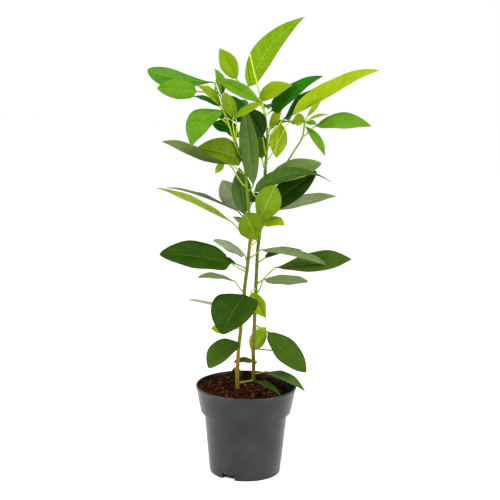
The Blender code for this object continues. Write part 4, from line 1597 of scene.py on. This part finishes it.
@dataclass
class PottingSoil:
    """Moist peat that fills the pot: an uneven top, strewn with crumbs and fibres.

    Attributes:
        pot: The pot that it fills.
        stems: The feet of the stems, in millimetres.
        top: The surface's mean height.
        lump: Height of its lumps, and their pitches to the right and back.
        dip: Depth of the dip on the right, where it starts and how far on it is full.
        heap: The same of the heap at the back left.
        grains: The rise in millimetres, the pitch and the seed of each fine unevenness.
        clear: Radius of the level ground round a stem.
        brim: The radius where the surface meets the wall.
        strewn: How far out crumbs and fibres lie.
        gap: How far the soil stands off the wall, at the brim and below.
        rings: Rings over the surface.
        turns: Points round each.
        crumbs: How many crumbs there are.
        crumb_size: Their typical radius.
        fibres: How many fibres there are.
        seed: Chooses their places and forms.
    """

    pot: NurseryPot
    stems: Sequence[Triple]
    top: float = 141.0 * MM
    lump: Triple = (1.2 * MM, 9.0 * MM, 11.0 * MM)
    dip: Triple = (12.0 * MM, 20.0 * MM, 40.0 * MM)
    heap: Triple = (5.0 * MM, 12.0 * MM, 30.0 * MM)
    grains: tuple[tuple[float, float, int], ...] = ((0.7, 8.0 * MM, 4), (0.45, 3.0 * MM, 5))
    clear: float = 15.0 * MM
    brim: float = 79.0 * MM
    strewn: float = 77.5 * MM
    gap: tuple[float, float] = (0.2 * MM, 0.3 * MM)
    rings: int = 90
    turns: int = 240
    crumbs: int = 2400
    crumb_size: float = 0.42 * MM
    fibres: int = 420
    seed: int = 21

    def height(self, x: np.ndarray, y: np.ndarray) -> np.ndarray:
        """The surface: lumpy, low on the right, heaped at the back left and level round each stem.

        Args:
            x: Places to the right of the middle.
            y: Places behind it.

        Returns:
            The height at each.
        """
        swell, right_pitch, back_pitch = self.lump
        lumps = swell * (np.sin(x / right_pitch + 1.0) * np.cos(y / back_pitch) - 0.3)
        depth, start, over = self.dip
        low = depth * np.clip((0.95 * x - 0.3 * y - start) / over, 0, 1)
        rise, start, over = self.heap
        heap = rise * np.clip((0.7 * (y - x) - start) / over, 0, 1)
        away = np.ones_like(x)
        for stem in self.stems:
            away = away * np.clip(np.hypot(x - stem[0] * MM, y - stem[1] * MM) / self.clear - 1, 0, 1)
        spots = np.stack([x, y, 0 * x], -1)
        grain = sum(ripple(spots, pitch, seed) * size for size, pitch, seed in self.grains)
        return self.top + (lumps - low + heap) * away + grain * MM

    def plug(self) -> Skin:
        """The body: rings up inside the wall, then in over the top at the surface's height.

        Returns:
            Its closed skin.
        """
        pot = self.pot
        angles = full_turn(self.turns)
        brink = self.height(self.brim * np.cos(angles), self.brim * np.sin(angles))
        rim = pot.inner_radius(brink) - self.gap[0]
        wall, bottom = pot.wall + self.gap[1], pot.floor + 0.1 * MM
        side = np.array([
            (1.0 * MM, bottom),
            (pot.base_radius - wall - pot.notch_reach, bottom),
            (pot.base_radius - wall, pot.notch_height + 4 * MM),
            (pot.body_top[0] - wall, pot.body_top[1]),
            (pot.collar_foot[0] - wall, pot.collar_foot[1] + 2.2 * MM),
        ])
        lower = turned_profile(side, angles)
        share = np.linspace(1.0, 0.01, self.rings)[:, None]
        x, y = share * rim * np.cos(angles), share * rim * np.sin(angles)
        return lofted(np.concatenate([lower, np.stack([x, y, self.height(x, y)], -1)]))

    def spots(self, rng: np.random.Generator, count: int) -> np.ndarray:
        """Places strewn evenly over the soil, with their heights.

        Args:
            rng: Draws the places.
            count: How many to draw.

        Returns:
            The places, as a count by 3 array.
        """
        radius = self.strewn * np.sqrt(rng.uniform(0, 1, count))
        turn = rng.uniform(0, 2 * math.pi, count)
        x, y = radius * np.cos(turn), radius * np.sin(turn)
        return np.stack([x, y, self.height(x, y)], -1)

    def crumb_skin(self) -> Skin:
        """Rough crumbs: each a twenty-sided ball, its corners pushed about and its axes stretched.

        Returns:
            One skin in four slots, one for each tint.
        """
        rng = np.random.default_rng(self.seed)
        gold = (1 + math.sqrt(5)) / 2
        ball = unit(np.array([
            (-1, gold, 0), (1, gold, 0), (-1, -gold, 0), (1, -gold, 0), (0, -1, gold), (0, 1, gold),
            (0, -1, -gold), (0, 1, -gold), (gold, 0, -1), (gold, 0, 1), (-gold, 0, -1), (-gold, 0, 1),
        ], float))
        faces = np.array([
            (0, 11, 5), (0, 5, 1), (0, 1, 7), (0, 7, 10), (0, 10, 11), (1, 5, 9), (5, 11, 4),
            (11, 10, 2), (10, 7, 6), (7, 1, 8), (3, 9, 4), (3, 4, 2), (3, 2, 6), (3, 6, 8),
            (3, 8, 9), (4, 9, 5), (2, 4, 11), (6, 2, 10), (8, 6, 7), (9, 8, 1),
        ])
        size = self.crumb_size * rng.lognormal(0.6, 0.7, (self.crumbs, 1, 1)).clip(0.6, 6.5)
        stretch = rng.uniform(0.5, 1.6, (self.crumbs, 1, 3)) * np.array([1, 1, 0.75])
        rough = ball[None] * (1 + rng.uniform(-0.28, 0.28, (self.crumbs, len(ball), 1)))
        turn = rng.uniform(0, 2 * math.pi, (self.crumbs, 1))
        shaped = rough * stretch * size
        x = shaped[..., 0] * np.cos(turn) - shaped[..., 1] * np.sin(turn)
        y = shaped[..., 0] * np.sin(turn) + shaped[..., 1] * np.cos(turn)
        spots = self.spots(rng, self.crumbs)[:, None] + np.array([0, 0, 1]) * size * 0.35
        points = np.stack([x, y, shaped[..., 2]], -1) + spots
        numbers = faces[None] + np.arange(self.crumbs)[:, None, None] * len(ball)
        slots = np.repeat(rng.choice(4, self.crumbs, p=(0.42, 0.32, 0.18, 0.08)), len(faces))
        return Skin(points.reshape(-1, 3), numbers.reshape(-1, 3), np.zeros((0, 3), int), slots)

    def fibre_skin(self) -> Skin:
        """Thin fibres: each a four-sided thread along a shallow arch, thinner towards its ends.

        Returns:
            One skin in three slots, one for each tint.
        """
        rng = np.random.default_rng(self.seed + 1)
        count, steps, sides = self.fibres, 7, 4
        share = np.linspace(-1, 1, steps)[None, :]
        turn = rng.uniform(0, 2 * math.pi, (count, 1))
        length = MM * rng.uniform(1.5, 6.5, (count, 1))
        bend = length * rng.uniform(-0.5, 0.5, (count, 1)) * share**2
        x = length * share * np.cos(turn) - bend * np.sin(turn)
        y = length * share * np.sin(turn) + bend * np.cos(turn)
        arch = MM * rng.uniform(0.2, 1.6, (count, 1)) * (1 - share**2)
        z = arch + length * rng.uniform(-0.12, 0.12, (count, 1)) * share
        spots = self.spots(rng, count)
        path = np.stack([x, y, z + 0.4 * MM], -1) + spots[:, None]
        radius = MM * rng.uniform(0.1, 0.3, (count, 1)) * np.sqrt(1.02 - share**2)
        around = spokes(unit(np.gradient(path, axis=1)), (0, 0, 1), sides)
        points = path[:, :, None] + radius[..., None, None] * around
        one = lofted(points[0])
        starts = np.arange(count)[:, None, None] * steps * sides
        faces, caps = ((part[None] + starts).reshape(-1, sides) for part in (one.faces, one.caps))
        slots = np.repeat(rng.choice(3, count, p=(0.45, 0.35, 0.2)), len(one.faces))
        return Skin(points.reshape(-1, 3), faces, caps, slots)

    def build(self) -> None:
        """Make the soil, its crumbs and its fibres, which together stand for the soil's node."""
        for name, skin, coats in (
            ("soil_body", self.plug(), [EarthFinish("soil_top", RED_PEAT, PIT_SHADE_PEAT)]),
            ("soil_crumbs", self.crumb_skin(), CRUMB_SKINS),
            ("soil_fibres", self.fibre_skin(), FIBRE_SKINS),
        ):
            place(skin.piece(name, [coat.material() for coat in coats]), "potting_soil", "soil")


@dataclass
class CrownMass:
    """The soft top of a stem: its leader with a bud, and its leaves joined by shade.

    Attributes:
        name: Its node's name.
        leader: What carries its leaves.
        leaves: Their rows.
        finish: The leader's skin.
        bud: Length of the leader's bud, in millimetres.
        sides: Points round the leader.
        swelling: How far its nodes stand out, as a share of the radius.
    """

    name: str
    leader: Limb
    leaves: list[Leaf]
    finish: ShootFinish
    bud: float = 9.0
    sides: int = 16
    swelling: float = 0.3

    def build(self) -> None:
        """Make the leader and a piece for each pair of shades, which all stand for one node."""
        rows = self.leaves + back_leaves(self.name, GREEN)
        nodes = [leaf.node for leaf in self.leaves]
        form = {"sides": self.sides, "swelling": self.swelling, "bud": self.bud}
        stem = Stem(f"{self.name}_leader", self.leader, nodes, self.finish, **form)
        stem.build("crown_foliage", self.name)
        for tone in Tone:
            for under in (None, *Tone):
                alike = [leaf for leaf in rows if leaf.tone == tone and leaf.under == under]
                if not alike:
                    continue
                skin = Skin.joined([PRESS.skin(leaf, self.leader, True) for leaf in alike])
                suffix = f"_over_{under.value}" if under else ""
                name = f"{self.name}_{tone.value}{suffix}_leaves"
                place(skin.piece(name, leaf_materials(alike[0])), "crown_foliage", self.name)


@dataclass
class Plant:
    """The fig: two stems, a side shoot, their leaves and their crowns.

    Attributes:
        left: The left stem.
        right: The right stem.
        side_knots: The side shoot's centre line above its foot, in millimetres.
        side_radii: Its radii at foot and tip, in millimetres.
        side_scars: Heights of its leaf scars, in millimetres.
        side_node: Height where it leaves the right stem, in millimetres.
        side_bearing: Its bearing there.
        left_leader: What carries the left crown.
        right_leader: What carries the right crown.
        side_leader: What carries the side shoot's crown.
    """

    left: Limb = Limb(
        [(-15, 5, 141), (-15, 5, 185), (-10, 4, 258), (-4, 3, 325),
         (2, 3, 384), (3, 2, 408), (0, 2, 445), (-5, 1, 500)], (3.3, 2.5), 400)
    right: Limb = Limb(
        [(13, 54, 141), (11, 47, 205), (13, 41, 263), (14, 35, 318),
         (15, 31, 358), (18, 26, 400), (22, 22, 440), (25, 16, 495)], (3.3, 2.5), 400)
    side_knots: tuple[Triple, ...] = ((42, 10, 501), (58, 2, 523), (70, -5, 544), (81, -9, 562))
    side_radii: tuple[float, float] = (1.7, 1.3)
    side_scars: tuple[float, ...] = (508, 531)
    side_node: float = 481
    side_bearing: float = 335.0
    left_leader: Limb = Limb(
        [(-5, 1, 500), (-8, 0, 521), (-17, -2, 544), (-30, -4, 577), (-39, -6, 597),
         (-45, -7, 622), (-50, -9, 637), (-58, -11, 643), (-67, -12, 650)], (2.3, 0.8), 240)
    right_leader: Limb = Limb(
        [(25, 16, 495), (27, 12, 535), (29, 9, 562), (26, 6, 589), (23, 4, 607),
         (18, 2, 626), (11, 1, 652), (4, 0, 677), (-1, 0, 697)], (2.4, 1.0), 240)
    side_leader: Limb = Limb([(81, -9, 562), (85, -10, 572), (88, -13, 595)], (1.2, 1.2), 60)

    def build(self) -> None:
        """Make every stem, leaf and crown, each in the place of its node."""
        bark = BarkFinish("stem_skin")
        slots = {part["node"]: part["material_slot"] for part in frame["record"]["subparts"]}
        for seed, name, limb, leaves in (
            (3, "left_stem", self.left, LEFT_STEM_LEAVES),
            (4, "right_stem", self.right, RIGHT_STEM_LEAVES),
        ):
            nodes = [leaf.node for leaf in leaves]
            Stem(f"{name}_bark", limb, nodes, bark, spacing=17.0, seed=seed).build("stem_bark", name)
            for leaf in leaves + back_leaves(name, MATURE):
                blade = PRESS.skin(leaf, limb, False).piece(f"{leaf.name}_blade", leaf_materials(leaf))
                place(blade, slots[leaf.name], leaf.name)
        centre, radius = self.right.at_height(self.side_node)
        foot = (centre + 0.4 * radius * direction(self.side_bearing, 0)) / MM
        shoot = Limb([tuple(foot), *self.side_knots], self.side_radii)
        stem = Stem("side_shoot_skin", shoot, self.side_scars, SIDE_SHOOT_SKIN, sides=16, swelling=0.25)
        stem.build("green_shoot", "side_shoot")
        CrownMass("left_crown", self.left_leader, LEFT_CROWN_LEAVES, GREEN_SHOOT).build()
        CrownMass("right_crown", self.right_leader, RIGHT_CROWN_LEAVES, GREEN_SHOOT).build()
        CrownMass("side_crown", self.side_leader, SIDE_CROWN_LEAVES, GREEN_SHOOT, bud=3.0).build()


@dataclass
class Studio:
    """A pale floor, soft lamps and the camera.

    Attributes:
        eye: The camera's place.
        pitch: Degrees that it looks down.
        roll: Degrees that it is turned to the left.
        lens: Its focal length in millimetres, on a sensor 36 mm wide.
        floor_size: The floor's side.
        glow: How strongly the floor glows.
        daylight: Brightness of the pale surroundings that light the plant.
        backdrop: Brightness of the surroundings that the camera sees.
        middle: The place that the lamps face.
    """

    eye: Triple = (0.0029, -2.0, 0.766)
    pitch: float = 10.88
    roll: float = 0.89
    lens: float = 88.6
    floor_size: float = 14.0
    glow: float = 0.5
    daylight: float = 0.55
    backdrop: float = 1.0
    middle: Triple = (0.0, 0.0, 0.42)

    def camera(self) -> None:
        """Make the scene's camera: turned down by the pitch, then round its view by the roll."""
        down, lean = math.radians(self.pitch), math.radians(self.roll)
        right = Vector((1, 0, 0))
        up = Vector((0, math.sin(down), math.cos(down)))
        ahead = Vector((0, math.cos(down), -math.sin(down)))
        across = right * math.cos(lean) + up * math.sin(lean)
        above = up * math.cos(lean) - right * math.sin(lean)
        data = bpy.data.cameras.new("photo_camera")
        data.lens = self.lens
        data.sensor_width = 36.0
        data.clip_start = 0.05
        camera = show("photo_camera", data)
        turned = Matrix((across, above, -ahead)).transposed().to_4x4()
        camera.matrix_world = Matrix.Translation(Vector(self.eye)) @ turned
        bpy.context.scene.camera = camera

    def lamp(self, name: str, spot: Triple, size: tuple[float, float], power: float) -> None:
        """Add a soft rectangular lamp that faces the plant's middle.

        Args:
            name: The lamp's name.
            spot: Where it stands.
            size: Its width and height.
            power: Its power in watts.
        """
        data = bpy.data.lights.new(name, "AREA")
        data.shape = "RECTANGLE"
        data.size, data.size_y = size
        data.energy = power
        aim = Vector(self.middle) - Vector(spot)
        turned = aim.to_track_quat("-Z", "Y").to_matrix().to_4x4()
        show(name, data).matrix_world = Matrix.Translation(Vector(spot)) @ turned

    def floor(self) -> None:
        """Make a flat pale floor that glows a little, as a lit studio sweep does."""
        half = self.floor_size / 2
        mesh = bpy.data.meshes.new("floor")
        square = [(-half, -half, 0), (half, -half, 0), (half, half, 0), (-half, half, 0)]
        mesh.from_pydata(square, [], [(0, 1, 2, 3)])
        bench = Bench("floor_sweep")
        clouds = bench.ranged(bench.noise(3, 2), 0.3, 0.7)
        colour = bench.mixed(clouds, (0.86, 0.86, 0.86), (0.88, 0.88, 0.88))
        shader = bench.plain(colour, 0.7, bench.bumped(bench.noise(200), 0.0001), 0.5)
        shader.node.inputs["Emission Color"].default_value = (1, 1, 1, 1)
        shader.node.inputs["Emission Strength"].default_value = self.glow
        mesh.materials.append(bench.done(shader))
        floor = show("floor", mesh)

    def surroundings(self) -> None:
        """Light the plant evenly from all round, and show the camera a white backdrop."""
        world = bpy.data.worlds.new("studio")
        world.use_nodes = True
        tree = world.node_tree
        tree.nodes.clear()
        out = tree.nodes.new("ShaderNodeOutputWorld")
        mix = tree.nodes.new("ShaderNodeMixShader")
        seen = tree.nodes.new("ShaderNodeLightPath")
        tree.links.new(seen.outputs["Is Camera Ray"], mix.inputs[0])
        for index, strength in enumerate((self.daylight, self.backdrop)):
            sky = tree.nodes.new("ShaderNodeBackground")
            sky.inputs["Color"].default_value = (1, 1, 1, 1)
            sky.inputs["Strength"].default_value = strength
            tree.links.new(sky.outputs[0], mix.inputs[index + 1])
        tree.links.new(mix.outputs[0], out.inputs["Surface"])
        bpy.context.scene.world = world

    def build(self) -> None:
        """Set up the whole studio."""
        self.camera()
        self.surroundings()
        self.floor()
        self.lamp("left_bank", (-1.7, -0.5, 0.9), (1.0, 1.8), 26)
        self.lamp("right_bank", (1.5, -1.1, 0.9), (0.3, 1.6), 26)
        self.lamp("overhead", (0.1, -0.5, 2.3), (1.6, 1.6), 34)
        bpy.context.scene.view_settings.view_transform = "Standard"


def corners(bounds: tuple[Vector, Vector]) -> list[list[float]]:
    """A box's two corners as plain lists."""
    return [list(corner) for corner in bounds]


def main() -> None:
    """Dress the pot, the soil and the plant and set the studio."""
    logging.basicConfig(level=logging.INFO, format="%(name)s: %(message)s")
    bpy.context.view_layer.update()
    pot = NurseryPot()
    pot.build()
    plant = Plant()
    PottingSoil(pot, (plant.left.knots[0], plant.right.knots[0])).build()
    plant.build()
    Studio().build()


if __name__ == "__main__":
    main()
